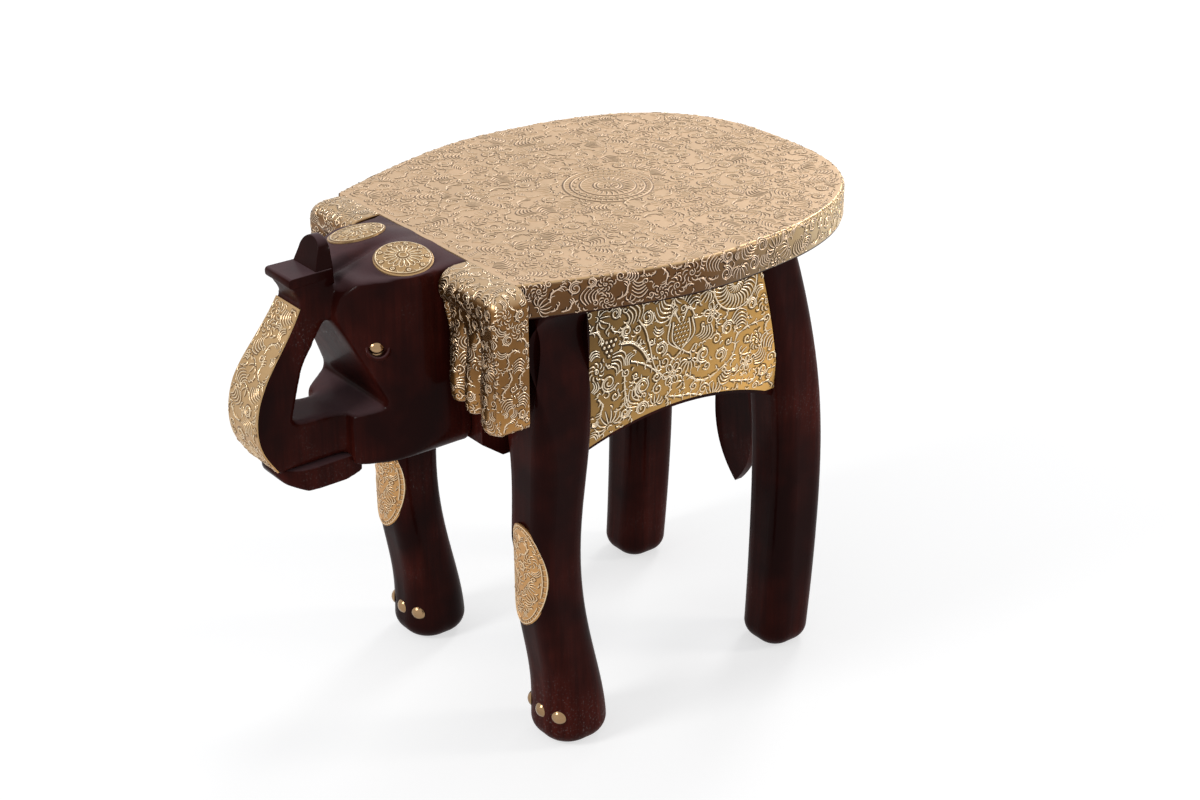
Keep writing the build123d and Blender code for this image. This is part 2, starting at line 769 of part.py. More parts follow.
def add_seat_screws(parts):
    screws = []
    for x, y in screw_places():
        screws.append(countersunk_screw(x, y, 0))
        hole = countersunk_screw(x, y, fixing_clearance)
        for node in ("seat_board", "torso"):
            parts[node] = parts[node] - hole
    parts["seat_screws"] = Compound(children=screws)


def make_parts():
    parts = {}
    parts["seat_board"] = make_seat_board()
    parts["seat_top_sheet"] = make_seat_top_sheet()
    parts["seat_rim_band"] = make_seat_rim_band()
    parts["torso"] = make_torso()
    parts["lower_lip"] = make_lower_lip()
    parts["head"] = make_head(parts["lower_lip"])
    parts["trunk"] = make_trunk()
    parts["tail"] = make_tail()
    for side, word, outer_x in ((LEFT, "left", left_ear_outer_x), (RIGHT, "right", right_ear_outer_x)):
        parts[word + "_ear"] = make_ear(side, outer_x)
        parts[word + "_ear_sheet"] = make_ear_sheet(side, outer_x)
        parts[word + "_flank_sheet"] = make_flank_sheet(side)
        parts[word + "_front_leg"] = make_front_leg(side, parts["torso"])
        parts[word + "_hind_leg"] = make_hind_leg(side, parts["torso"])
    parts["trunk_strip"] = make_trunk_strip(parts["trunk"])
    parts["forehead_discs"] = make_forehead_discs()
    parts["knee_plates"] = make_knee_plates()
    return parts


def add_fixings(parts):
    legs = [f"{word}_{end}_leg" for word in ("left", "right") for end in ("front", "hind")]
    places = [(side * core_half_width, y, z) for side in (LEFT, RIGHT) for y, z in leg_dowel_places()]
    length = 0.75 * dowel_length
    add_dowels(parts, "leg_dowels", places, (1, 0, 0), dowel_radius, length, ["torso"] + legs)
    neck = (jaw_height + board_bottom) / 2
    places = [(side * head_half_width / 2, front_y, neck) for side in (LEFT, RIGHT)]
    add_dowels(parts, "head_dowels", places, (0, 1, 0), dowel_radius, dowel_length, ["torso", "head"])
    board_middle = (board_top + board_bottom) / 2
    span = seat_front_width / 2 - head_half_width
    across = [head_half_width + share * span for share in (0.3, 0.7)]
    places = [(side * x, front_y, board_middle) for side in (LEFT, RIGHT) for x in across]
    ears = ["left_ear", "right_ear", "seat_board"]
    add_dowels(parts, "ear_dowels", places, (0, 1, 0), dowel_radius, dowel_length, ears)
    root = (chin_height + jaw_top) / 2
    places = [(0, ahead(jaw_reach), root)]
    add_dowels(parts, "trunk_dowel", places, (0, 1, 0), dowel_radius, dowel_length, ["head", "trunk"])
    lip_y = ahead(mouth_reach - 0.7 * mouth_half_width)
    thin = 0.6 * dowel_radius
    places = [(0, lip_y, chin_height)]
    add_dowels(parts, "lower_lip_dowel", places, (0, 0, 1), thin, mouth_depth, ["trunk", "lower_lip"])
    tail_z = tail_top_height - 2 * dowel_radius
    tail_y = rump_top_y + rump_slope * (board_bottom - tail_z)
    places = [(0, tail_y, tail_z)]
    add_dowels(parts, "tail_dowel", places, (0, 1, 0), thin, 1.4 * tail_thickness, ["torso", "tail"])
    add_seat_screws(parts)
    legs = ["left_front_leg", "right_front_leg"]
    feet = both_sides(toe_spots(parts[legs[0]]))
    add_nails(parts, "toe_nails", feet, toe_nail_radius, nail_shank_radius, nail_shank_length, legs)
    eye = [surface_point(parts["head"], Vector(far / 4, ahead(eye_ahead), eye_height), Vector(-1, 0, 0))]
    eyes = both_sides(eye)
    add_nails(parts, "eye_nails", eyes, eye_nail_radius, nail_shank_radius, nail_shank_length, ["head"])
    knees = both_sides(pins_round_plate(parts["knee_plates"]))
    into = ["knee_plates"] + legs
    add_nails(parts, "sheet_pins", knees, pin_head_radius, pin_shank_radius, pin_length, into)
    strip = pins_on_strip(parts["trunk_strip"])
    into = ["trunk_strip", "trunk"]
    add_nails(parts, "sheet_pins", strip, pin_head_radius, pin_shank_radius, pin_length, into)


def main():
    parts = make_parts()
    add_fixings(parts)
    os.makedirs("parts", exist_ok=True)
    for name, shape in parts.items():
        if isinstance(shape, list):
            shape = Compound(children=shape)
        export_step(shape, f"parts/{name}.step")


main()
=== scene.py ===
# %% [markdown]
# # An elephant stool of carved wood and embossed brass
# The stool is a carved, dark stained elephant with a round-backed seat board on its back.
# Thin brass is nailed over the seat, the ears, the flanks and the front of the trunk.
# This lesson loads the stool's solid parts, gives each its finish, and then adds what a
# maker adds last: the soft carving, the folded edges and the pressed ornament of the brass.
# Sizes are in metres, except in the drawings of the ornament, which are in millimetres.

# %% The stool's solid parts
import json
import math

import bmesh
import bpy
import numpy as np
from mathutils import Matrix, Vector
from mathutils.bvhtree import BVHTree


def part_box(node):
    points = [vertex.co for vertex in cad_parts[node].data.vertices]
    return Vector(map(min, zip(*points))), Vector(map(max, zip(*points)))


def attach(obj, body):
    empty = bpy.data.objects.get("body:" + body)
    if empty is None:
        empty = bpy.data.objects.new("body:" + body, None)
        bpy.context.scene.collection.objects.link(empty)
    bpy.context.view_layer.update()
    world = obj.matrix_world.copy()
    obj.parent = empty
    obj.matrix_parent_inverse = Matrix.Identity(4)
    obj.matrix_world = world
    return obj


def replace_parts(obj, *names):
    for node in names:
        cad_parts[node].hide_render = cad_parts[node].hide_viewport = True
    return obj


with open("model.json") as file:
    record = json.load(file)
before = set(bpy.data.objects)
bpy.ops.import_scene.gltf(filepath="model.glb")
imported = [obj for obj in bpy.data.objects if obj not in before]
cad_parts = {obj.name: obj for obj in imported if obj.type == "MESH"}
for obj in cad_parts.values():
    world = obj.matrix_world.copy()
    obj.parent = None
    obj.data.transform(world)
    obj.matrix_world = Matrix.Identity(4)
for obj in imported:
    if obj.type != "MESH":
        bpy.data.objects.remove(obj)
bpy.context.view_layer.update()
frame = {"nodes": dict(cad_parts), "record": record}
nodes = frame["nodes"]
scene = bpy.context.scene
scene.view_settings.view_transform = "Standard"
MM = 0.001

# %% [markdown]
# ## Camera
# The stool is seen from its left front corner and from above. A long lens keeps the legs
# nearly upright. The camera is aimed with a direction vector, so it has no roll.

# %% Camera
eye = Vector((0.9621, -0.6986, 0.7640))
aim = Vector((0.0, 0.0498, 0.1665))
camera_data = bpy.data.cameras.new("camera")
camera_data.lens = 66.34
camera_data.sensor_width = 36.0
camera = bpy.data.objects.new("camera", camera_data)
scene.collection.objects.link(camera)
camera.location = eye
camera.rotation_mode = "QUATERNION"
camera.rotation_quaternion = (aim - eye).to_track_quat("-Z", "Y")
scene.camera = camera
print("camera distance:", round((aim - eye).length, 3))


# %% [markdown]
# ## Small helpers for shaders
# Colours are noted as they are read from a screen, and turned to linear light once here.
# A shader is a graph, so a few short helpers place a node and join it to others. Each takes
# sockets or plain values alike, so that a material reads as a few lines of arithmetic.

# %% Colours and nodes
def shade(red, green, blue):
    """A screen colour, 0 to 255, as linear light."""
    values = []
    for value in (red, green, blue):
        value /= 255
        values.append(value / 12.92 if value <= 0.04045 else ((value + 0.055) / 1.055) ** 2.4)
    return (*values, 1.0)


def add(tree, kind, **values):
    """A node of that kind. Names with a first capital are inputs, the rest are properties."""
    node = tree.nodes.new(kind)
    for name, value in values.items():
        if name[0].isupper():
            node.inputs[name.replace("_", " ")].default_value = value
        else:
            setattr(node, name, value)
    return node


def join(tree, source, target):
    """Joins a socket to an input, or writes a plain value into it."""
    if isinstance(source, bpy.types.NodeSocket):
        tree.links.new(source, target)
    else:
        target.default_value = source


print("mid grey as linear light:", round(shade(128, 128, 128)[0], 3))


# %% Arithmetic on sockets
def mix_colour(tree, share, first, second):
    """A blend of two colours: the first at share 0 and the second at share 1."""
    node = add(tree, "ShaderNodeMix", data_type="RGBA")
    for place, value in ((0, share), (6, first), (7, second)):
        join(tree, value, node.inputs[place])
    return node.outputs[2]


def calculate(tree, operation, first, second, clamp=False):
    node = add(tree, "ShaderNodeMath", operation=operation, use_clamp=clamp)
    for place, value in enumerate((first, second)):
        join(tree, value, node.inputs[place])
    return node.outputs[0]


def times(tree, first, second, clamp=False):
    return calculate(tree, "MULTIPLY", first, second, clamp)


def spread(tree, value, low, high, to_low=0.0, to_high=1.0):
    """A value stretched from one range to another, and kept inside it."""
    node = add(tree, "ShaderNodeMapRange", To_Min=to_low, To_Max=to_high)
    for name, source in (("Value", value), ("From Min", low), ("From Max", high)):
        join(tree, source, node.inputs[name])
    return node.outputs["Result"]


def noise(tree, place, scale, detail, roughness, distortion=0.0):
    node = add(tree, "ShaderNodeTexNoise", Scale=scale, Detail=detail, Roughness=roughness,
               Distortion=distortion)
    join(tree, place, node.inputs["Vector"])
    return node.outputs["Fac"]


def upward(tree):
    """How far the surface faces up: 1 on a level top and 0 on a wall."""
    parts = add(tree, "ShaderNodeSeparateXYZ")
    join(tree, add(tree, "ShaderNodeNewGeometry").outputs["Normal"], parts.inputs[0])
    return parts.outputs["Z"]


# %% Groups and materials
def bump_up(tree, height, shader, strength, distance):
    """Lets a value stand for height in the shader's normal."""
    bump = add(tree, "ShaderNodeBump", Strength=strength, Distance=distance)
    join(tree, height, bump.inputs["Height"])
    join(tree, bump.outputs["Normal"], shader.inputs["Normal"])


def new_group(name, inputs, outputs):
    """An empty shader group, and the sockets to read from and to write to inside it."""
    group = bpy.data.node_groups.new(name, "ShaderNodeTree")
    for label, kind, value in inputs:
        socket = group.interface.new_socket(
            name=label, in_out="INPUT", socket_type="NodeSocket" + kind)
        socket.default_value = value
    for label, kind in outputs:
        group.interface.new_socket(name=label, in_out="OUTPUT", socket_type="NodeSocket" + kind)
    given, result = group.nodes.new("NodeGroupInput"), group.nodes.new("NodeGroupOutput")
    return group, given.outputs, result.inputs


def use_group(tree, group, **values):
    node = tree.nodes.new("ShaderNodeGroup")
    node.node_tree = group
    for name, value in values.items():
        node.inputs[name].default_value = value
    return node.outputs


def new_material(name):
    """A material with its node tree and its Principled shader."""
    material = bpy.data.materials.new(name)
    material.use_nodes = True
    tree = material.node_tree
    return material, tree, tree.nodes["Principled BSDF"]


print("shader helpers ready")


# %% [markdown]
# ## Carved, lacquered wood
# The wood is stained so dark that its grain shows only as faint red-brown streaks. The
# lacquer over it is glossy, with shallow tool marks and dust that break up each reflection,
# and a painted sheen, a pale lilac grey that stands in for the lacquer's reflection of the
# light above, lightens whatever faces up. The streaks are noise stretched along the grain.
# One group makes streaks, clouds, relief and dust, so that the lacquered wood and the plain
# wood of the dowels can share it.

# %% Wood
cloud_scale, gouge_scale, dust_scale = 16.0, 42.0, 800.0


def make_grain_group():
    """Streaks, clouds, relief and dust, with the grain along Z."""
    group, given, result = new_group(
        "carved grain",
        [("Across", "Float", 300.0), ("Along", "Float", 14.0)],
        [("Streaks", "Float"), ("Clouds", "Float"), ("Relief", "Float"), ("Dust", "Float")],
    )
    place = add(group, "ShaderNodeTexCoord").outputs["Object"]
    size = add(group, "ShaderNodeCombineXYZ")
    for axis, name in zip("XYZ", ("Across", "Across", "Along")):
        join(group, given[name], size.inputs[axis])
    stretch = add(group, "ShaderNodeVectorMath", operation="MULTIPLY")
    join(group, place, stretch.inputs[0])
    join(group, size.outputs[0], stretch.inputs[1])
    streaks = noise(group, stretch.outputs[0], 1.0, 5.0, 0.6, 0.3)
    clouds = noise(group, place, cloud_scale, 3.0, 0.55)
    gouges = noise(group, place, gouge_scale, 1.0, 0.4)
    specks = spread(group, noise(group, place, dust_scale, 2.0, 0.7), 0.6, 0.68)
    join(group, streaks, result["Streaks"])
    join(group, clouds, result["Clouds"])
    join(group, calculate(group, "ADD", gouges, times(group, streaks, 0.12)), result["Relief"])
    join(group, times(group, specks, spread(group, clouds, 0.54, 0.68)), result["Dust"])
    return group


grain_group = make_grain_group()
dust_colour = shade(92, 70, 64)
# Painted sheen: the pale lilac grey that upward faces are mixed towards, for the lacquer's
# reflection of the light above.
painted_sheen_colour = shade(124, 100, 104)


def make_wood(name, across, along, dark, warm):
    """Stained and lacquered wood: dark with warm streaks."""
    material, tree, shader = new_material(name)
    grain = use_group(tree, grain_group, Across=across, Along=along)
    clouds, dust = grain["Clouds"], grain["Dust"]
    streaks = spread(tree, grain["Streaks"], 0.35, 0.75, 0.35, 1.0)
    share = times(tree, streaks, spread(tree, clouds, 0.38, 0.68))
    colour = mix_colour(tree, share, dark, warm)
    colour = mix_colour(tree, times(tree, dust, 0.5), colour, dust_colour)
    # Painted sheen: the more a face points up, the more its colour turns to the pale sheen colour,
    # as a reflection of the light above.
    painted_sheen = spread(tree, upward(tree), 0.6, 1.0, 0.0, 0.42)
    colour = mix_colour(tree, painted_sheen, colour, painted_sheen_colour)
    join(tree, colour, shader.inputs["Base Color"])
    join(tree, spread(tree, clouds, 0.3, 0.7, 0.3, 0.48), shader.inputs["Roughness"])
    join(tree, spread(tree, dust, 0.0, 1.0, 0.05, 0.8), shader.inputs["Coat Weight"])
    bump_up(tree, grain["Relief"], shader, 0.5, 0.0012)
    shader.inputs["Specular IOR Level"].default_value = 0.02
    shader.inputs["Coat Roughness"].default_value = 0.1
    return material


finishes = {
    "dark_wood": make_wood("lacquered wood", 300.0, 14.0, shade(34, 9, 7), shade(84, 30, 22)),
    "dowel_wood": make_wood(
        "plain dowel wood", 200.0, 12.0, shade(150, 112, 76), shade(180, 140, 98)),
}
print("wood finishes:", len(finishes))

# %% [markdown]
# ## Embossed brass
# The brass is a little thicker than a fingernail. It was pressed over a pattern, nailed on
# and aged. The light and shade on its raised lines are painted: every ornament mesh carries
# a value called press, which is -1 in the furrow beside a line, painted dark as its shadow,
# 0 on the ground and 1 on the crest, painted pale as its highlight. One group turns that
# value, some mottling, a painted glow that is warmer towards one side and a painted sheen
# on whatever faces up into colour.

# %% Brass group
patch_scale, grit_scale = 38.0, 900.0


def make_patina_group():
    """Colour, with painted light and shade, roughness and fine relief of aged brass."""
    group, given, result = new_group(
        "aged brass",
        [
            ("Ground", "Color", (0.5, 0.5, 0.5, 1)), ("Deep", "Color", (0.1, 0.1, 0.1, 1)),
            ("Furrow_Shadow", "Color", (0.1, 0.1, 0.1, 1)), ("Crest_Highlight", "Color", (0.9, 0.9, 0.9, 1)),
            ("Warm", "Color", (0.6, 0.3, 0.1, 1)), ("Upper", "Color", (0.7, 0.6, 0.4, 1)),
            ("Mottle", "Float", 0.4), ("Warmth", "Float", 0.0), ("Wear", "Float", 0.0),
            ("Low", "Float", 0.0), ("High", "Float", 0.1), ("Way", "Vector", (0, 0, 1)),
        ],
        [("Color", "Color"), ("Roughness", "Float"), ("Height", "Float")],
    )
    place = add(group, "ShaderNodeTexCoord").outputs["Object"]
    patches = noise(group, place, patch_scale, 4.0, 0.6)
    fine = noise(group, place, grit_scale, 3.0, 0.6)
    mottle = times(group, spread(group, patches, 0.35, 0.65), given["Mottle"])
    colour = mix_colour(group, mottle, given["Ground"], given["Deep"])

    # Painted glow: along Way, between Low and High, the colour turns to a warm, lighter tone that
    # stands in for light reflected onto the sheet.
    level = add(group, "ShaderNodeVectorMath", operation="DOT_PRODUCT")
    join(group, place, level.inputs[0])
    join(group, given["Way"], level.inputs[1])
    painted_glow_ramp = spread(group, level.outputs["Value"], given["Low"], given["High"], 1.0, 0.0)
    painted_glow_share = times(group, calculate(group, "POWER", painted_glow_ramp, 1.6), given["Warmth"])
    colour = mix_colour(group, painted_glow_share, colour, given["Warm"])
    # Painted sheen: whatever faces up is mixed towards a paler colour that stands in for the
    # reflection of the light above.
    painted_top_share = times(group, spread(group, upward(group), 0.3, 0.85), given["Wear"])
    colour = mix_colour(group, painted_top_share, colour, given["Upper"])

    # Painted shadow and highlight of the relief: press below 0 mixes in the furrow colour, a
    # painted shadow beside each line, and press above 0 the crest colour, a painted highlight on
    # it.
    press = add(group, "ShaderNodeAttribute", attribute_name="press").outputs["Fac"]
    painted_light_share = spread(group, fine, 0.3, 0.7, 0.55, 1.0)
    furrow = times(group, times(group, press, -1.0, clamp=True), painted_light_share)
    crest = times(group, times(group, press, 1.0, clamp=True), painted_light_share)
    colour = mix_colour(group, furrow, colour, given["Furrow_Shadow"])
    colour = mix_colour(group, crest, colour, given["Crest_Highlight"])
    join(group, colour, result["Color"])
    dull = spread(group, patches, 0.3, 0.7, 0.06, -0.06)
    join(group, calculate(group, "SUBTRACT", dull, times(group, crest, 0.1)), result["Roughness"])
    join(group, fine, result["Height"])
    return group


# %% Brass
patina_group = make_patina_group()


def make_brass(name, colours, roughness, metallic=0.85, **values):
    """Aged brass. Its colours: ground, dark patches, painted furrow shadow, painted crest
    highlight.
    """
    material, tree, shader = new_material(name)
    values.update(zip(("Ground", "Deep", "Furrow_Shadow", "Crest_Highlight"), (shade(*rgb) for rgb in colours)))
    patina = use_group(tree, patina_group, **values)
    join(tree, patina["Color"], shader.inputs["Base Color"])
    dulled = calculate(tree, "ADD", patina["Roughness"], roughness)
    join(tree, dulled, shader.inputs["Roughness"])
    shader.inputs["Metallic"].default_value = metallic
    bump_up(tree, patina["Height"], shader, 0.25, 0.0003)
    return material


# Of each brass's four colours, the third is the painted shadow of its furrows and the fourth the
# painted highlight of its crests. The warm colour, where given, is a painted glow towards one side,
# and the upper colour is a painted sheen on whatever faces up.
finishes["seat_brass"] = make_brass(
    "seat brass", ((217, 184, 148), (200, 167, 128), (72, 44, 14), (236, 208, 174)),
    roughness=0.5, metallic=0.5, Mottle=0.5,
)
finishes["rim_brass"] = make_brass(
    "rim brass", ((102, 70, 40), (64, 40, 22), (26, 12, 6), (240, 212, 186)), roughness=0.34,
    Warm=shade(226, 198, 150), Low=-0.15, High=-0.02, Warmth=0.95, Way=(0, -1, 0),
    Upper=shade(206, 172, 128), Wear=0.85,
)
finishes["ear_brass"] = make_brass(
    "ear brass", ((126, 88, 46), (86, 57, 29), (30, 14, 7), (250, 226, 196)), roughness=0.28,
    Warm=shade(200, 146, 82), Low=0.222, High=0.258, Warmth=0.7,
    Upper=shade(206, 174, 134), Wear=0.9,
)
finishes["flank_brass"] = make_brass(
    "flank brass", ((106, 80, 42), (76, 54, 28), (24, 10, 4), (253, 238, 212)), roughness=0.32,
    Warm=shade(228, 176, 98), Low=0.1, High=0.235, Warmth=0.95, Way=(0, -0.6, 0.8),
)
finishes["ornament_brass"] = make_brass(
    "ornament brass", ((188, 154, 108), (162, 126, 82), (84, 54, 28), (246, 226, 192)),
    roughness=0.38, metallic=0.7, Warm=shade(206, 148, 84), Low=0.195, High=0.235, Warmth=0.6,
)
finishes["nail_brass"] = make_brass(
    "nail brass", ((164, 134, 100), (112, 84, 58), (100, 70, 44), (230, 210, 184)),
    roughness=0.2, metallic=1.0,
)
finishes["screw_steel"] = make_brass(
    "screw steel", ((160, 160, 160), (120, 120, 120), (90, 90, 90), (220, 220, 220)),
    roughness=0.3,
)
for part in frame["record"]["subparts"]:
    mesh = nodes[part["node"]].data
    mesh.materials.clear()
    mesh.materials.append(finishes[part["material_slot"]])
print("nodes in the brass group:", len(patina_group.nodes))


# %% [markdown]
# ## Laying pieces on the stool
# Ornament is drawn flat and then bent onto its sheet. To know where the sheet is, a ray is
# cast onto the solid part, as if a finger came down on it. A search tree makes that quick.
# Two more helpers turn a finished bmesh into a mesh, and a mesh into a piece of the stool.

# %% Rays and pieces
new_mesh = bpy.data.meshes.new


def feel(mesh):
    """A search tree of a mesh, for casting rays onto it."""
    corners = [vertex.co for vertex in mesh.vertices]
    return BVHTree.FromPolygons(corners, [face.vertices for face in mesh.polygons])


trees = {name: feel(nodes[name].data) for name in (
    "seat_top_sheet", "left_flank_sheet", "trunk_strip", "forehead_discs", "knee_plates",
)}


def touch(tree, start, direction):
    """Where a ray first meets the part, and which way the part faces there, or None."""
    place, normal, _, _ = tree.ray_cast(Vector(start), Vector(direction).normalized())
    if place is None:
        return None
    return place, -normal if normal.dot(Vector(direction)) > 0 else normal


print("parts that can be felt:", len(trees))


# %% Finishing a piece
def pour(work, mesh, smooth=True):
    """Writes a bmesh into a mesh and lets go of it. smooth=False leaves each face as it is."""
    if smooth:
        for face in work.faces:
            face.smooth = True
    work.to_mesh(mesh)
    work.free()
    return mesh


def keep(mesh, name, slot_name):
    """Links a finished mesh as a piece of the stool that moves with its one body."""
    piece = bpy.data.objects.new(name, mesh)
    scene.collection.objects.link(piece)
    mesh.materials.clear()
    mesh.materials.append(finishes[slot_name])
    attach(piece, "root")
    print(name, "faces:", len(mesh.polygons))
    return piece


# %% [markdown]
# ## Softer carving
# The head and the trunk look carved from one block, so the solids' crisp facets have to run
# together. Copies of both solids are joined, and one fine, even mesh is drawn over them. Its
# points are then smoothed, but held back near a sheet or a neighbour, so that the brass still
# lies on the wood. The lower lip is softened in the same way, by itself.

# %% Carved wood
hold_distance, held_rounds = 0.003, 2
head_voxel, head_rounds, tip_rounds = 0.0012, 26, 8
lip_voxel, lip_rounds = 0.001, 12


def soften(names, new_name, voxel, rounds, held=()):
    """One fine mesh over the named solids, with soft edges. rounds(point) says how soft."""
    work = bmesh.new()
    for name in names:
        work.from_mesh(nodes[name].data)
    bmesh.ops.remove_doubles(work, verts=work.verts, dist=1e-6)
    crisp = pour(work, new_mesh("crisp block"), smooth=False)
    block = bpy.data.objects.new("block", crisp)
    scene.collection.objects.link(block)
    remesh = block.modifiers.new("fine mesh", "REMESH")
    remesh.mode = "VOXEL"
    remesh.voxel_size = voxel
    depsgraph = bpy.context.evaluated_depsgraph_get()
    fine = bpy.data.meshes.new_from_object(block.evaluated_get(depsgraph))
    bpy.data.objects.remove(block)
    bpy.data.meshes.remove(crisp)
    work = bmesh.new()
    work.from_mesh(fine)
    guards = [feel(nodes[other].data) for other in held]
    wanted = np.array([
        rounds(v.co) if all(guard.find_nearest(v.co, hold_distance)[0] is None for guard in guards)
        else held_rounds for v in work.verts
    ])
    points = np.array(work.verts[:])
    for step in range(wanted.max()):
        bmesh.ops.smooth_vert(work, verts=points[wanted > step].tolist(), factor=0.5,
                              use_axis_x=True, use_axis_y=True, use_axis_z=True)
    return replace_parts(keep(pour(work, fine), new_name, "dark_wood"), *names)


# %% [markdown]
# ## Tip of the trunk
# Only the tip of the trunk is cut crisply: a flat ledge with a round nose, and behind it an
# upright tab that leans back and ends in a round top. Both are small blocks with bevelled
# edges. The soft mesh stays below the top of the ledge, so that it never shows above it.

# %% Tip of the trunk
# Above tip_z and before tip_y the soft mesh keeps its shape. The ledge's size is (width,
# depth, height), and its middle and the tab's corners are (y, z) or (x, z). The tab's arch
# is (half width, rise, start of the rise). Tip and ledge planes are in m, the rest in mm.
tip_y, tip_z, ledge_top, ledge_back = -0.139, 0.298, 0.3062, -0.138
ledge_size, ledge_middle, ledge_back_width = (25.8, 27.2, 5.7), (-154.6, 304.15), 24.4
tab_foot, tab_shoulder, tab_arch = (12.2, 298.0), (11.5, 308.0), (9.9, 8.8, 314.4)
tab_front, tab_back, tab_lean, tab_level = -151.0, -140.0, 0.36, 307.0
nose_radius, edge_radius = 2.2, 0.5


def trunk_tip():
    """The crisp tip of the trunk, worked in mm and then scaled."""
    work = bmesh.new()
    bmesh.ops.create_cube(work, size=1.0)
    width, depth, height = ledge_size
    for vertex in work.verts:
        x, y, z = vertex.co
        vertex.co = (x * (width if y < 0 else ledge_back_width), ledge_middle[0] + depth * y,
                     ledge_middle[1] + height * z)
    nose = [edge for edge in work.edges if all(v.co.y < ledge_middle[0] for v in edge.verts)
            and abs(edge.verts[0].co.x - edge.verts[1].co.x) > 1]
    bmesh.ops.bevel(work, geom=nose, offset=nose_radius, offset_type="OFFSET", segments=4,
                    profile=0.5, affect="EDGES", material=-1)
    half, rise, start = tab_arch
    arch = [(-half * math.cos(angle), start + rise * math.sin(angle))
            for angle in np.linspace(0, math.pi, 17)]
    left = [(-x, z) for x, z in (tab_foot, tab_shoulder)]
    corners = [work.verts.new((x, tab_front + (z - tab_level) * tab_lean, z))
               for x, z in (*left, *arch, tab_shoulder, tab_foot)]
    front = work.faces.new(corners)
    for item in bmesh.ops.extrude_face_region(work, geom=[front])["geom"]:
        if isinstance(item, bmesh.types.BMVert):
            item.co.y = tab_back
    bmesh.ops.recalc_face_normals(work, faces=work.faces)
    sharp = [edge for edge in work.edges if edge.calc_face_angle(0) > 0.8]
    bmesh.ops.bevel(work, geom=sharp, offset=edge_radius, offset_type="OFFSET", segments=2,
                    profile=0.5, affect="EDGES", material=-1)
    for face in work.faces:
        face.smooth = face.calc_area() < 40
    bmesh.ops.scale(work, vec=(MM, MM, MM), verts=work.verts)
    keep(pour(work, new_mesh("trunk_tip"), smooth=False), "trunk_tip", "dark_wood")


def head_softness(point):
    """The trunk keeps more of its shape near its tip."""
    return tip_rounds if point.z > tip_z and point.y < tip_y else head_rounds


carved_head = soften(("head", "trunk"), "carved_head", head_voxel, head_softness,
                     ("seat_board", "torso", "forehead_discs", "trunk_strip"))
for vertex in carved_head.data.vertices:
    if vertex.co.y < ledge_back:
        vertex.co.z = min(vertex.co.z, ledge_top)
trunk_tip()
soften(("lower_lip",), "carved_lower_lip", lip_voxel, lambda point: lip_rounds)


# %% [markdown]
# ## Eyes
# Each eye is a brass nail in a carved ring. The ring is a small circle spun round the nail
# and turned so that it lies flat on the cheek, which a ray finds just above the nail.

# %% Eye rings
eye_radius, eye_thickness = 6.0, 1.2


def eye_ring(word, side):
    """The carved ring round an eye."""
    corners = np.array([v.co for v in nodes["eye_nails"].data.vertices if v.co.x * side > 0])
    middle = (corners.min(0) + corners.max(0)) / 2
    work = bmesh.new()
    bmesh.ops.create_circle(work, segments=10, radius=eye_thickness * MM)
    bmesh.ops.rotate(work, matrix=Matrix.Rotation(math.pi / 2, 3, "X"), verts=work.verts)
    bmesh.ops.translate(work, vec=(eye_radius * MM, 0, 0), verts=work.verts)
    bmesh.ops.spin(work, geom=work.verts[:] + work.edges[:], axis=(0, 0, 1), cent=(0, 0, 0),
                   angle=2 * math.pi, steps=40, use_merge=True)
    above = (side * 0.2, middle[1], middle[2] + eye_radius * MM)
    place, normal = touch(feel(nodes["head"].data), above, (-side, 0, 0))
    bmesh.ops.rotate(work, matrix=normal.to_track_quat("Z", "Y").to_matrix(), verts=work.verts)
    bmesh.ops.translate(work, vec=(place.x, middle[1], middle[2]), verts=work.verts)
    bmesh.ops.recalc_face_normals(work, faces=work.faces)
    name = word + "_eye_ring"
    keep(pour(work, new_mesh(name)), name, "dark_wood")


eye_ring("left", 1)
eye_ring("right", -1)

# %% [markdown]
# ## Drawing ornament
# A stroke is a row of points with a width at each one. Curls, fans, petals and rings are a
# few strokes each. Drawn in millimetres round the origin, they are then turned and moved.

# %% Strokes
def stroke(points, widths=1.0, closed=False):
    points = np.asarray(points, float).reshape(-1, 2)
    return points, np.broadcast_to(np.asarray(widths, float), len(points)).copy(), closed


def moved(strokes, x=0.0, y=0.0, turn=0.0, flip=False):
    """Copies of the strokes: flipped, turned and moved, in that order."""
    c, s = math.cos(turn), math.sin(turn)
    matrix = np.array([[c, s], [-s, c]])
    flipped = np.array([1.0, -1.0 if flip else 1.0])
    return [((points * flipped) @ matrix + (x, y), widths, closed)
            for points, widths, closed in strokes]


def wheel(strokes, count, root, twist=0.0, start=0.0):
    """Copies of the strokes round a centre, each turned outwards and twisted a little."""
    copies = []
    for i in range(count):
        angle = start + 2 * math.pi * i / count
        copies += moved(strokes, root * math.cos(angle), root * math.sin(angle), angle + twist)
    return copies


def on_circle(angles):
    return np.column_stack([np.cos(angles), np.sin(angles)])


def ring(radius, width=1.0, steps=0):
    steps = steps or max(8, int(radius * 5))
    angles = np.linspace(0, 2 * math.pi, steps, endpoint=False)
    return stroke(on_circle(angles) * radius, width, True)


def arc(radius, start, end, width=1.0, steps=6):
    taper = 0.45 + 0.55 * np.sin(math.pi * np.linspace(0.08, 0.92, steps))
    return stroke(on_circle(np.linspace(start, end, steps)) * radius, width * taper)


def comma(length, bend, width=1.0, steps=4):
    """A short bent stroke from the origin along +X, pointed at its end."""
    t = np.linspace(0, 1, steps)
    points = np.column_stack([t, bend * np.sin(math.pi * t)]) * length
    return stroke(points, width * (0.4 + 0.6 * np.sin(math.pi * (0.25 + 0.72 * t))))


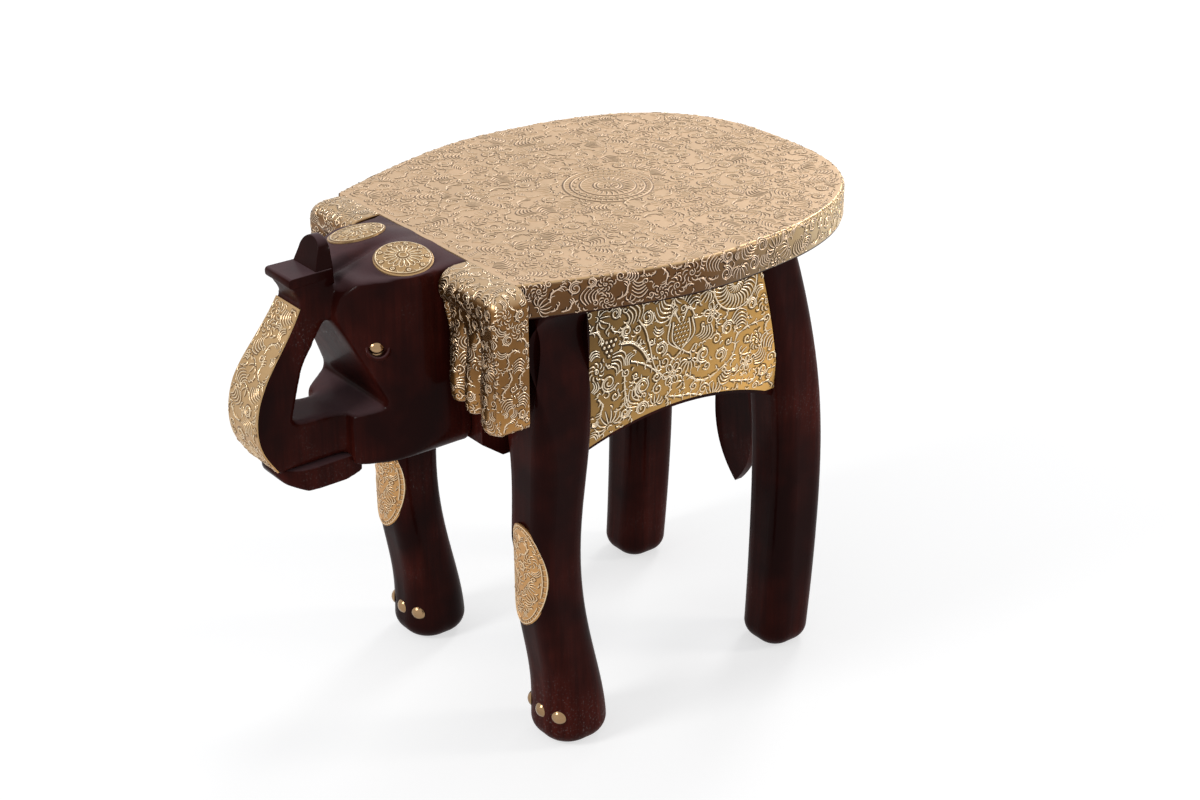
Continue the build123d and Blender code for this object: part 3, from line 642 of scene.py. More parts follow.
def petal(length, width):
    """A closed, pointed oval from the origin along +X."""
    t = np.linspace(0.06, 0.94, 8) * math.pi
    x, y = (1 - np.cos(t)) / 2 * length, np.sin(t) ** 0.8 * width / 2
    top, back = np.column_stack([x, y]), np.column_stack([x[::-1], -y[::-1]])
    return stroke(np.vstack([top[::2], back[::2]]), 0.85, True)


print("points in a ring of 5 mm:", len(ring(5.0)[0]))


# %% Lines and fringes
def distances(line):
    """How far along a line each of its points lies."""
    return np.concatenate([[0], np.cumsum(np.hypot(*np.diff(line, axis=0).T))])


def point_at(line, lengths, where):
    """The point of a line that is that far along it."""
    return np.array([np.interp(where, lengths, line[:, k]) for k in (0, 1)])


def smooth_line(points, steps=5):
    """A soft line through a few points."""
    points = np.asarray(points, float)
    padded = np.vstack([2 * points[0] - points[1], points, 2 * points[-1] - points[-2]])
    line = []
    for a, b, c, d in zip(padded, padded[1:], padded[2:], padded[3:]):
        for t in np.linspace(0, 1, steps, endpoint=False):
            bent = (2 * a - 5 * b + 4 * c - d) * t ** 2 + (3 * b - a - 3 * c + d) * t ** 3
            line.append(0.5 * (2 * b + (c - a) * t + bent))
    return np.array(line + [points[-1]])


def spiral_line(radius, turns, steps, inner=0.14):
    t = np.linspace(0, 1, steps)
    reach = radius * (inner + (1 - inner) * t ** 0.85)
    return on_circle(2 * math.pi * turns * t) * reach[:, None]


fringe_start, fringe_end, fringe_least, fringe_feel = 0.06, 0.97, 0.5, 0.4


def fringe(line, count, length, slant, sides, bend=0.3):
    """Commas along a line, longest at its middle, on one side or both."""
    lengths = distances(line)
    strokes = []
    for i in range(count):
        share = fringe_start + (fringe_end - fringe_start) * i / max(1, count - 1)
        at = share * lengths[-1]
        before = point_at(line, lengths, max(at - fringe_feel, 0))
        after = point_at(line, lengths, min(at + fringe_feel, lengths[-1]))
        turn = math.atan2(after[1] - before[1], after[0] - before[0])
        swell = math.sin(math.pi * (0.1 + 0.8 * share))
        reach = length * (fringe_least + (1 - fringe_least) * swell)
        for hand in sides:
            strokes += moved([comma(reach, -bend * hand)], *point_at(line, lengths, at),
                             turn + slant * hand)
    return strokes


print("commas in a fringe:", len(fringe(smooth_line([(0, 0), (10, 0)]), 5, 3.0, 0.8, (1, -1))))

# %% [markdown]
# ## Figures
# The sheets repeat a few kinds of figure in many sizes. Each is drawn to fill a circle of
# the given radius, so that figures can be set side by side without a gap.

# %% Curls, plumes and leaves
def curl(radius):
    """A curl that opens outwards, with a few commas along its back."""
    line = spiral_line(radius * 0.78, 1.35, 14, 0.1)
    back = fringe(line[8:], 3, radius * 0.42, -0.7, (1,), -0.3)
    return [stroke(line, np.linspace(0.75, 1.05, 14))] + back


def scroll(radius, leaves=5):
    """A large curl with a second line inside it and longer commas along its back."""
    line = spiral_line(radius * 0.76, 1.6, 24, 0.08)
    strokes = [stroke(line, np.linspace(0.75, 1.15, 24)), stroke(line[14:] * 0.72, 0.75)]
    return strokes + fringe(line[14:], leaves, radius * 0.46, -0.6, (1,), -0.35)


def plume(radius, lines=5, heart=True):
    """A curled leaf: long arcs that part as they bend, with a curl at the root."""
    strokes = []
    for i in range(lines):
        line = comma(radius * (1.75 - 0.16 * i), 0.34 - 0.02 * i, 1.0, 6)
        strokes += moved([line], radius * (0.1 * i - 0.8), radius * (0.3 - 0.24 * i), -0.1 * i)
    if heart:
        curled = stroke(spiral_line(radius * 0.3, 1.1, 8), 0.9)
        strokes += moved([curled], -0.62 * radius, -0.62 * radius)
    return strokes


def fan(radius, blades=6, opening=2.0):
    """Blades that spread from one point and bend away from the middle one."""
    strokes = []
    root = radius * 0.42
    for i in range(blades):
        share = i / (blades - 1) - 0.5
        angle = opening * share
        blade = comma(radius * (1.2 - 0.5 * abs(share)), 0.6 * share, 1.0, 5)
        strokes += moved([blade], root * math.cos(angle), root * math.sin(angle), angle)
    return moved(strokes + [arc(radius * 0.26, -1.6, 1.6, 0.9, 5)], -radius * 0.6)


def leafy(radius, blades=5):
    """Half a leaf: a bent rib with long blades on one side and short ones on the other."""
    rib = np.array([(-0.9, -0.35), (-0.1, -0.5), (0.75, 0.1)]) * radius
    line = smooth_line(rib, 4)
    strokes = [stroke(line, np.linspace(1.1, 0.7, len(line)))]
    strokes += fringe(line, blades, radius, 0.7, (1,))
    return strokes + fringe(line, 3, radius * 0.36, 0.8, (-1,))


print("points in one curl:", sum(len(points) for points, _, _ in curl(4.0)))


# %% Whorls, flowers and beads
def whorl(radius, commas=9):
    """A small curl inside a wheel of slanted commas."""
    middle = stroke(spiral_line(radius * 0.36, 1.3, 10), np.linspace(0.7, 0.9, 10))
    return [middle] + wheel([comma(radius * 0.66, -0.3)], commas, radius * 0.52, 1.15)


def flower(radius, petals=6):
    """Petals of two lines round a small eye."""
    pair = [petal(radius * 0.66, radius * 0.5), comma(radius * 0.42, 0.1, 0.8)]
    return [ring(radius * 0.2, 0.9, 8)] + wheel(pair, petals, radius * 0.3)


def beads(radius, rows=4):
    """A cluster of beads, pointed like a bunch of grapes."""
    step = 1.7 * radius / rows
    bead = [ring(step * 0.27, 1.05, 6)]
    strokes = []
    for row in range(rows):
        for i in range(rows - row):
            x, y = (i - (rows - 1 - row) / 2) * step, (rows / 2 - 0.6 - row) * step * 0.88
            strokes += moved(bead, x, y)
    return strokes


print("beads in a cluster:", len(beads(4.0)))


# %% [markdown]
# ## From strokes to pressed lines
# Strokes could be cut as bump in the shader, but the pressed lines are what one feels on
# this stool, so they are real. A curve object sweeps a low ridge along every stroke in one
# go. The flat result is then carried onto the sheet, point by point, with its height kept.

# %% Ridges
def swept(strokes, profile):
    """A flat mesh of a ridge along each stroke, in mm. profile is (across, height, press)."""
    section_data = bpy.data.curves.new("section", "CURVE")
    section_data.dimensions = "2D"
    section_line = section_data.splines.new("POLY")
    section_line.points.add(len(profile) - 1)
    for point, (across, height, _) in zip(section_line.points, profile):
        point.co = (across, height, 0, 1)
    section = bpy.data.objects.new("section", section_data)
    lines = bpy.data.curves.new("lines", "CURVE")
    lines.dimensions = "3D"
    lines.twist_mode = "Z_UP"
    lines.bevel_mode = "OBJECT"
    lines.bevel_object = section
    for points, widths, closed in strokes:
        line = lines.splines.new("POLY")
        line.points.add(len(points) - 1)
        places = np.column_stack([points, np.zeros(len(points)), np.ones(len(points))])
        line.points.foreach_set("co", places.ravel())
        line.points.foreach_set("radius", widths)
        line.use_cyclic_u = closed
    drawing = bpy.data.objects.new("drawing", lines)
    for item in (section, drawing):
        scene.collection.objects.link(item)
    bpy.context.view_layer.update()
    depsgraph = bpy.context.evaluated_depsgraph_get()
    mesh = bpy.data.meshes.new_from_object(drawing.evaluated_get(depsgraph))
    for item, data in ((drawing, lines), (section, section_data)):
        bpy.data.objects.remove(item)
        bpy.data.curves.remove(data)
    press = np.array([value for _, _, value in profile], np.float32)
    layer = mesh.attributes.new("press", "FLOAT", "POINT")
    layer.data.foreach_set("value", np.tile(press, len(mesh.vertices) // len(profile)))
    for layer in list(mesh.uv_layers):
        mesh.uv_layers.remove(layer)
    return mesh


# %% Laying ridges on a sheet
def laid(strokes, profile, carry, name, slot_name):
    """Sweeps the strokes and carries them onto the stool, as one piece.

    carry(x, y) gives the place and the normal there, or None past the sheet's edge."""
    mesh = swept(strokes, profile)
    work = bmesh.new()
    work.from_mesh(mesh)
    lost = []
    for vertex in work.verts:
        found = carry(vertex.co.x, vertex.co.y)
        if found is None:
            lost.append(vertex)
        else:
            vertex.co = Vector(found[0]) + Vector(found[1]) * (vertex.co.z * MM)
    bmesh.ops.delete(work, geom=lost, context="VERTS")
    loose = [v for v in work.verts if not v.link_faces]
    bmesh.ops.delete(work, geom=loose, context="VERTS")
    return keep(pour(work, mesh), name, slot_name)


def ridge(width, height):
    """The section of a pressed line: a furrow painted dark as its shadow on one side, the crest
    painted pale as its highlight on the other.
    """
    return [(0.58 * width, 0.02, -0.9), (0.08 * width, 0.08, -1.0), (-0.05 * width, height, 1.0),
            (-0.28 * width, height, 1.0), (-0.44 * width, 0.02, -0.7)]


print("points across a ridge:", len(ridge(1.6, 0.4)))


# %% [markdown]
# ## Filling a sheet
# The real pattern fills its sheet evenly, with no two figures alike. A fixed random order
# drops the large figures first and lets smaller ones settle in the gaps between them. Short
# commas then flow through what is still bare.

# %% Figures side by side
tries, most_figures = 9000, 6000


def scatter(inside, box, sizes, taken, seed, closeness):
    """Places figures of the given (radius, share of tries): (x, y, radius) for each."""
    random = np.random.default_rng(seed)
    circles = np.zeros((most_figures, 3))
    count = len(taken)
    if count:
        circles[:count] = taken
    found = []
    for radius, share in sizes:
        for x, y in random.uniform(box[:2], box[2:], (int(tries * share), 2)):
            near = circles[:count]
            apart = (near[:, 0] - x) ** 2 + (near[:, 1] - y) ** 2
            if (apart < ((near[:, 2] + radius) * closeness) ** 2).any():
                continue
            if inside(x, y, radius):
                circles[count] = (x, y, radius)
                count += 1
                found.append((x, y, radius))
    return found


large_kinds = ((0.2, whorl, ()), (0.44, plume, ()), (0.74, scroll, ()), (0.9, leafy, ()),
               (1.0, fan, (7,)))
small_kinds = ((0.44, curl, ()), (0.7, plume, (3, False)), (0.84, leafy, (3,)), (1.0, fan, (4,)))


def fill(spots, seed, large):
    """A figure for each spot. Those of the large radius and over are of the richer kinds."""
    random = np.random.default_rng(seed)
    strokes = []
    for x, y, radius in spots:
        pick = random.random()
        kinds = large_kinds if radius >= large else small_kinds
        draw, details = next(kind[1:] for kind in kinds if pick < kind[0])
        turn = random.uniform(0, 2 * math.pi)
        turned = moved(draw(radius, *details), turn=turn, flip=random.random() < 0.5)
        strokes += moved(turned, x, y)
    return strokes


print("kinds of figure:", len({kind[1] for kind in large_kinds + small_kinds}))


# %% Commas in the gaps
def flow(spots, inside, box, seed, spacing, length):
    """Commas in the gaps between the figures. Each leans round the figure nearest to it."""
    random = np.random.default_rng(seed)
    centres = np.array(spots)
    strokes = []
    for row, y in enumerate(np.arange(box[1], box[3], spacing * 0.87)):
        for x in np.arange(box[0] + spacing / 2 * (row % 2), box[2], spacing):
            px, py = np.array((x, y)) + random.uniform(-0.3, 0.3, 2) * spacing
            away = np.hypot(centres[:, 0] - px, centres[:, 1] - py) - centres[:, 2]
            nearest = int(np.argmin(away))
            if away[nearest] < spacing * 0.25 or not inside(px, py, length * 0.45):
                continue
            hand = 1 if nearest % 2 else -1
            outward = math.atan2(py - centres[nearest][1], px - centres[nearest][0])
            turn = outward + hand * random.uniform(0.8, 1.4)
            size = length * random.uniform(0.8, 1.15)
            strokes += moved(moved([comma(size, -0.3 * hand)], -size / 2), px, py, turn)
    return strokes


def covered(room, box, sizes, seed, closeness, large, spacing, length, taken=(), gaps=None):
    """Strokes that cover a sheet between the circles already taken.

    room and gaps say whether a figure, or a comma in a gap, lies wholly on the sheet."""
    spots = scatter(room, box, sizes, taken, seed, closeness)
    commas = flow(spots + list(taken), gaps or room, box, seed + 2, spacing, length)
    return fill(spots, seed + 1, large) + commas


def room_on(carry, margin):
    """A test whether a circle lies wholly on the sheet that carry feels."""
    def test(x, y, radius):
        reach = radius + margin
        around = ((-reach, 0), (reach, 0), (0, -reach), (0, reach), (0, 0))
        return all(carry(x + dx, y + dy) for dx, dy in around)
    return test


# %% [markdown]
# ## The folded edge of the seat
# On the real seat the side band is folded over the edge of the board, so the edge is soft.
# The outline is felt with rays round its sides and back. A curve along it, open at the front,
# sweeps the band's section, and the flat top becomes a plate that ends where the fold begins.

# %% The seat's outline
seat_low, seat_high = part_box("seat_top_sheet")
seat_front, seat_back, seat_z = seat_low.y / MM, seat_high.y / MM, seat_high.z
feeler_z = seat_z - 0.0004


def measure_outline(steps):
    """Points round the seat from its left front corner, with outward normals, in mm."""
    centre = Vector((0, (seat_low.y + seat_high.y) / 2, feeler_z))
    front = seat_low.y + 1e-5
    corner = max(v.co.x for v in nodes["seat_top_sheet"].data.vertices if v.co.y < front) - 1e-5
    start = math.atan2(seat_low.y - centre.y, corner)
    rough = []
    for angle in np.linspace(start, math.pi - start, 1400):
        out = Vector((math.cos(angle), math.sin(angle), 0))
        place, _ = touch(trees["seat_top_sheet"], centre + out * 0.4, -out)
        rough.append((place.x / MM, place.y / MM))
    rough = np.array(rough)
    lengths = distances(rough)
    line = point_at(rough, lengths, np.linspace(0, lengths[-1], steps)).T
    ahead = np.gradient(line, axis=0)
    normals = np.column_stack([ahead[:, 1], -ahead[:, 0]])
    return line, normals / np.linalg.norm(normals, axis=1)[:, None], lengths[-1]


outline, outward, outline_length = measure_outline(360)
print("round the seat:", round(outline_length, 1), "mm")

# %% Rim and plate
# The fold's points are (out from the seat's outline, up from the seat's top).
plate_inset, plate_thickness, plate_lip = 2.2, 0.0008, (0, -0.0001, -0.005)
fold = np.array([(-2.6, 0.0), (-1.7, -0.12), (-1.05, -0.5), (-0.6, -1.2), (-0.4, -2.2),
                 (-0.4, -18.9), (-0.8, -19.8), (-2.6, -20.1)])


def make_rim():
    """The folded band: its section swept along the outline, then brought to the seat's height."""
    mesh = swept([stroke(outline)], [(across, height, 0) for across, height in fold])
    mesh.attributes.remove(mesh.attributes["press"])
    work = bmesh.new()
    work.from_mesh(mesh)
    bmesh.ops.scale(work, vec=(MM, MM, MM), verts=work.verts)
    bmesh.ops.translate(work, vec=(0, 0, seat_z), verts=work.verts)
    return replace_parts(keep(pour(work, mesh), "rim_brass_fold", "rim_brass"), "seat_rim_band")


def make_plate():
    """The flat top: a grid whose rows are stretched to the width inside the fold."""
    side = (outline - outward * plate_inset)[:len(outline) // 2]
    back = seat_back - plate_inset
    work = bmesh.new()
    bmesh.ops.create_grid(work, x_segments=24, y_segments=90, size=0.5)
    for vertex in work.verts:
        share = vertex.co.y + 0.5
        y = seat_front + (back - seat_front) * math.sin(share * math.pi / 2)
        half = float(np.interp(y, side[:, 1], side[:, 0]))
        vertex.co = (2 * vertex.co.x * half * MM, y * MM, seat_z)
    lip = [edge for edge in work.edges
           if edge.is_boundary and all(v.co.y < (seat_front + 0.01) * MM for v in edge.verts)]
    pulled = bmesh.ops.extrude_edge_only(work, edges=lip)["geom"]
    lower = [item for item in pulled if isinstance(item, bmesh.types.BMVert)]
    bmesh.ops.translate(work, vec=plate_lip, verts=lower)
    bmesh.ops.recalc_face_normals(work, faces=work.faces)
    if max(work.faces, key=lambda face: face.calc_area()).normal.z < 0:
        bmesh.ops.reverse_faces(work, faces=work.faces)
    bmesh.ops.solidify(work, geom=work.faces[:], thickness=plate_thickness)
    bmesh.ops.recalc_face_normals(work, faces=work.faces)
    plate = keep(pour(work, new_mesh("seat_plate"), smooth=False), "seat_brass_plate", "seat_brass")
    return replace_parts(plate, "seat_top_sheet")


make_rim()
make_plate()


# %% [markdown]
# ## The seat's ornament
# A medallion lies on the middle of the seat, and curls, plumes, leaves and fans cover the
# rest. The lines are thin and low, so that the seat still feels flat. How wide the seat is
# at each place along it is felt once and kept in a table.

# %% Seat ornament
seat_rows = np.linspace(seat_low.y + 0.0005, seat_high.y - 0.0005, 136)
seat_edges = np.array([
    touch(trees["seat_top_sheet"], (0.3, y, feeler_z), (-1, 0, 0))[0].x for y in seat_rows
])
medallion_y, medallion_radius = 55.7, 26.6
seat_margin = 2.2


def on_seat(x, y, radius):
    """Whether a circle lies wholly on the seat."""
    margin = radius + seat_margin
    for dy in (-margin, 0, margin):
        if not seat_front < y + dy < seat_back:
            return False
        half_width = float(np.interp((y + dy) * MM, seat_rows, seat_edges)) / MM
        if abs(x) + margin * 0.8 > half_width:
            return False
    return True


def medallion():
    """Rings of beads, petals and rays round a small flower."""
    rings = ((1.4, 1.0), (6.4, 1.0), (8.4, 1.0), (16.4, 1.0), (22.0, 1.1), (26.2, 1.2))
    strokes = [ring(radius, width) for radius, width in rings]
    strokes += wheel([comma(3.4, 0.3)], 9, 2.6, 0.5)
    strokes += wheel([comma(5.6, 0.12)], 26, 9.8)
    strokes += wheel([arc(2.1, -1.5, 1.5), comma(2.4, 0.0)], 20, 18.2)
    return strokes + wheel([comma(2.2, 0.1)], 46, 23.2)


seat_strokes = moved(medallion(), 0, medallion_y) + covered(
    on_seat, (-121, seat_front, 121, seat_back), ((6.4, 0.6), (4.9, 1.0), (3.7, 1.0)),
    seed=11, closeness=0.93, large=4.5, spacing=2.6, length=3.0,
    taken=[(0, medallion_y, medallion_radius + 0.6)],
)
laid(seat_strokes, ridge(1.6, 0.4), lambda x, y: ((x * MM, y * MM, seat_z), (0, 0, 1)),
     "seat_ornament", "seat_brass")

# %% [markdown]
# ## The flank's ornament
# The flanks carry the boldest work. The drawing's x runs along the stool and y is the
# height above the floor. Rays from outside carry it onto the bent sheet, and whatever
# falls past the sheet's edge is trimmed, as the real sheet was. The other flank is its mirror.

# %% Figures of the flank
def flank_medallion(radius):
    """A round medallion, its top under the seat's rim: two wheels of feathers in a ring."""
    long, short = comma(radius * 0.52, 0.22, 1.15, 6), comma(radius * 0.26, 0.2)
    strokes = [ring(radius, 1.1, 56)]
    strokes += wheel([long], 30, radius * 0.42, start=math.pi * (1 + 0.5 / 15))
    return strokes + wheel([short], 18, radius * 0.12, start=math.pi * (1 + 0.5 / 9))


def thistle(width, height):
    """The middle figure: a beaded head between leaves, on a leafy foot."""
    def bent(side, *points):
        return smooth_line([(side * x * width, y * height) for x, y in points])

    strokes = []
    for side in (1, -1):
        for reach, lean in ((0.5, 0.42), (0.34, 0.3)):
            outer = bent(side, (0, -0.3), (reach, -0.05), (lean, 0.3))
            strokes.append(stroke(outer, np.linspace(0.7, 1.2, len(outer))))
        top = bent(side, (0.05, 0.26), (0.3, 0.5), (0.5, 0.3))
        foot = bent(side, (0, -0.3), (0.3, -0.42), (0.5, -0.3))
        strokes += [stroke(top), stroke(foot)] + fringe(top, 4, 0.2 * width, 0.9, (side,))
        strokes += fringe(foot, 3, 0.2 * width, 0.9, (-side,))
    for row in range(6):
        for i in range(5 - row % 2):
            x = (i - (4 - row % 2) / 2) * 0.13 * width
            strokes += moved([comma(1.5, 0.1, 1.1, 3)], x - 0.7, (0.2 - 0.085 * row) * height, 0.5)
    return strokes


def stem(points, leaves, length, width=0.8, sides=(1, -1), slant=0.5):
    line = smooth_line(points)
    rib = stroke(line, np.linspace(width, 0.7 * width, len(line)))
    return [rib] + fringe(line, leaves, length, slant, sides)


def acanthus(points, leaves, length):
    """A broad leaf: a double rib and close blades that lie along it."""
    line = smooth_line(points)
    ribs = [stroke(line, 1.2), stroke(line + (0.9, 0.9), 0.8)]
    return ribs + fringe(line, leaves, length, 0.55, (1,), 0.25)


print("strokes in the thistle:", len(thistle(19.0, 31.0)))

# %% Drawing of the flank
# Each row is a figure's place, the radius that it takes and its strokes.
flank_figures = [
    (81.0, 266.0, 17.0, flank_medallion(16.5)),
    (40.5, 244.5, 14.0, thistle(19.0, 31.0)),
    (57.2, 227.6, 6.2, moved(scroll(7.6), turn=1.2)),
    (25.3, 240.1, 4.8, moved(scroll(6.0), turn=2.6, flip=True)),
    (34.3, 221.5, 7.0, flower(7.4)),
    (12.9, 219.8, 7.0, moved(scroll(8.8, 6), turn=0.4)),
    (-11.9, 229.4, 6.6, moved(scroll(8.4, 6), turn=2.0)),
    (-10.6, 204.0, 7.2, moved(fan(8.0, 9, 2.6), turn=1.9)),
    (1.2, 206.1, 4.4, moved(scroll(5.6), turn=3.0)),
    (-12.0, 250.6, 6.4, beads(7.6)),
    (-16.5, 268.8, 5.6, moved(fan(6.2), turn=-0.3)),
    (98.5, 224.0, 5.2, whorl(5.4, 10)),
    (91.2, 211.4, 4.8, flower(5.0, 5)),
    (63.4, 252.2, 6.0, moved(flower(6.6, 5), turn=0.5)),
    (66.7, 234.6, 4.2, moved(curl(5.4), turn=0.5)),
    (0.8, 257.6, 4.8, moved(scroll(5.8), turn=1.0)),
    (6.4, 267.6, 6.4, moved(plume(7.6), turn=-1.2)),
    (105.9, 203.0, 5.0, moved(scroll(6.0), turn=2.2)),
    (104.5, 248.0, 6.0, moved(whorl(6.0), turn=0.2)),
    (23.7, 206.5, 4.6, moved(fan(5.0), turn=1.4)),
    (67.7, 200.0, 5.2, moved(fan(5.8, 7), turn=1.6)),
]
# Each row is the strokes of a leaf, a stem or a plume, and the circles that they take.
flank_lines = [
    (acanthus([(-4, 250.5), (4, 249), (11, 243), (16, 235)], 9, 6.0),
     [(3, 248, 4.5), (11, 241, 4.5)]),
    (stem([(9, 262), (13.9, 254.5), (17, 243.5), (20.8, 230), (29, 220.5)], 5, 7.0, 1.1, (1,)),
     [(15, 252, 4), (18, 240, 3)]),
    (moved(plume(8.0), 7.5, 214.5, 2.2), [(7, 214, 5)]),
    (moved(plume(7.0), -6, 241, -0.6), [(-6, 241, 5.5)]),
    (moved(plume(7.0), 48, 266, 0.4), [(48, 266, 5.5)]),
    (moved(plume(7.4), 28, 262, 2.6), [(28, 262, 6)]),
    (moved(plume(7.0), 108, 222, 1.0), [(108, 222, 5.5)]),
    (moved(plume(6.4), 84, 243, 0.2), [(84, 243.5, 5)]),
    (stem([(3.5, 238), (9.5, 235.6), (17, 231), (24, 224.5)], 5, 7.0, 1.1, (-1,), 0.45),
     [(10, 234, 4), (18, 229, 3.5)]),
    (stem([(-1, 231), (-0.6, 224), (0.6, 217), (2.4, 211.6)], 5, 5.6, 0.9),
     [(-0.6, 226, 4), (0.8, 217, 4)]),
    (stem([(68.7, 212.7), (62, 210.6), (55, 211.6), (47, 216.8)], 5, 7.0, 0.9, slant=0.45),
     [(65, 212, 4), (57, 213, 4), (50, 215, 4)]),
    (stem([(70, 213), (77, 216.6), (81.2, 222), (82.4, 231), (90, 235.6), (101.6, 237)], 7, 6.0),
     [(75, 216, 3.5), (81, 223, 4), (83, 231, 4), (91, 236, 4), (99, 237, 4)]),
    (stem([(33, 207), (41, 204.6), (49, 203.4), (57, 200.5)], 5, 6.0),
     [(37, 206, 3.5), (45, 204, 4), (53, 202, 3.5)]),
    (stem([(80, 203), (88, 200.5), (97, 198.4)], 4, 5.4), [(83, 202, 3.6), (91, 200, 3.6)]),
    (stem([(104, 192), (111, 193), (117, 188)], 4, 4.6), [(108, 192, 3.6), (115, 190, 3.4)]),
]
print("figures on the flank:", len(flank_figures) + len(flank_lines))


# %% Flank ornament
def on_flank(x, y):
    return touch(trees["left_flank_sheet"], (0.2, x * MM, y * MM), (-1, 0, 0))


flank_low, flank_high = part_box("left_flank_sheet")
flank_strokes = covered(
    room_on(on_flank, -0.6),
    (flank_low.y / MM, flank_low.z / MM, flank_high.y / MM, flank_high.z / MM),
    ((6.0, 0.4), (4.4, 0.6), (3.2, 0.8)),
    seed=21, closeness=0.88, large=4.6, spacing=2.9, length=3.0,
    taken=[(x, y, radius) for x, y, radius, _ in flank_figures]
    + [spot for _, spots in flank_lines for spot in spots],
)
for x, y, _, strokes in flank_figures:
    flank_strokes += moved(strokes, x, y)
for strokes, _ in flank_lines:
    flank_strokes += strokes
flank_ornament = laid(
    flank_strokes, ridge(2.1, 0.66), on_flank, "left_flank_ornament", "flank_brass")

mirror_work = bmesh.new()
mirror_work.from_mesh(flank_ornament.data)
bmesh.ops.scale(mirror_work, vec=(-1, 1, 1), verts=mirror_work.verts)
bmesh.ops.reverse_faces(mirror_work, faces=mirror_work.faces)
mirrored = pour(mirror_work, new_mesh("right_flank_ornament"))
keep(mirrored, "right_flank_ornament", "flank_brass")

# %% [markdown]
# ## The rim's ornament
# The drawing runs along the seat's outline, and its y runs down over the fold: 0 is where
# the fold begins on the seat. Curled leaves, scrolls and fans fill it down to a thin line
# near its foot.

# %% Rim ornament
fold_lengths = distances(fold)
outline_at = np.linspace(0, outline_length, len(outline))
wall_bottom = fold_lengths[-1] - 2.6


def on_rim(x, y):
    if not (0 < y < fold_lengths[-1] and 1 < x < outline_length - 1):
        return None
    (px, py), (nx, ny) = point_at(outline, outline_at, x), point_at(outward, outline_at, x)
    out, z = point_at(fold, fold_lengths, y)
    further, lower = point_at(fold, fold_lengths, min(y + 0.5, fold_lengths[-1]))
    run, drop = further - out, lower - z
    steep = math.hypot(run, drop) or 1.0
    normal = (nx * -drop / steep, ny * -drop / steep, run / steep)
    return ((px + nx * out) * MM, (py + ny * out) * MM, seat_z + z * MM), normal


def on_wall(x, y, radius):
    return radius * 0.7 < y < wall_bottom - radius * 0.8


rim_strokes = covered(
    on_wall, (0, 0, outline_length, wall_bottom), ((5.8, 0.4), (4.4, 0.6), (3.0, 0.9)),
    seed=31, closeness=0.84, large=4.3, spacing=2.2, length=2.6,
)
thin_line = [(x, wall_bottom + 0.9) for x in np.arange(0, outline_length, 3.0)]
rim_strokes.append(stroke(thin_line, 0.8))
laid(rim_strokes, ridge(1.6, 0.38), on_rim, "rim_ornament", "rim_brass")

# %% [markdown]
# ## Ears
# Each ear is a thick flap with a rolled top, a hollow under the roll and three soft flutes
# that end in lobes. The front starts as a plain grid. Its points are moved to the ear's
# outline and pushed back by the depth of the hollow, and its border is then extruded to
# the seat. A wooden back closes it.

# %% Ear shape
# The roll at the top has a radius of ear_roll, and the ear narrows by ear_taper to its foot.
# The grooves lie at these shares of its width, and the lobes between them end higher inside.
ear_roll, ear_taper, ear_lobe_depth = 10.5, 7.0, 5.0
ear_grooves = (0.0, 0.28, 0.56, 1.0)
ear_lobe_rise = (8.5, 6.0, 0.0)
groove_depth, hollow_depth = 4.6, 5.2


def ease(value, start, end):
    """0 before start, 1 after end, and smooth between."""
    t = np.clip((value - start) / (end - start), 0, 1)
    return t * t * (3 - 2 * t)


def lobes_across(share):
    """Which lobe a place is on, counted from the inside out, and how far across it."""
    return float(np.interp(share, ear_grooves, (0, 1, 2, 3)))


def ear_foot(share):
    """The height of the ear's foot above its lowest point; share runs from the inside out."""
    at = lobes_across(share)
    lobe = min(int(at), 2)
    across = 2 * (at - lobe) - 1
    curve = 1 - math.sqrt(max(0, 1 - abs(across) ** 2.2))
    return ear_lobe_rise[lobe] + ear_lobe_depth * curve


def rounded(distance, radius):
    """How far a rounded edge of that radius falls back, at a distance from the edge."""
    inside = min(max(radius - distance, 0.0), radius)
    return radius - math.sqrt(radius ** 2 - inside ** 2)


def ear_front(share, x, z, inner, x_out, top, foot):
    """How far behind the ear's front plane a place lies, in mm."""
    below = top - z
    qx, qz = x - (x_out - ear_roll), z - (top - ear_roll)
    if qx > 0 and qz > 0:
        edge, steep = ear_roll - math.hypot(qx, qz), math.atan2(qz, qx) / (math.pi / 2)
    else:
        edge, steep = min(x_out - x, below), float(below < x_out - x)
    roll = rounded(edge, 5.0 + 4.5 * steep)
    flute = abs(math.sin(math.pi * lobes_across(share))) ** 0.6
    grooves = groove_depth * (1 - flute) * ease(below, 20, 42) * ease(edge, 1.0, 6.0)
    hollow = hollow_depth * ease(below, 12, 20) * (1 - ease(below, 26, 66))
    hollow *= (1 - ease(share, 0.56, 0.76)) * (ease(share, 0.0, 0.08) * 0.5 + 0.5)
    tip = rounded(z - foot - ear_foot(share), 3.5) * 0.8
    return roll + grooves + hollow + tip + rounded(x - inner, 2.5) * 0.8


print("height of the lobes:", [round(ear_foot(share), 1) for share in (0.14, 0.42, 0.78)])


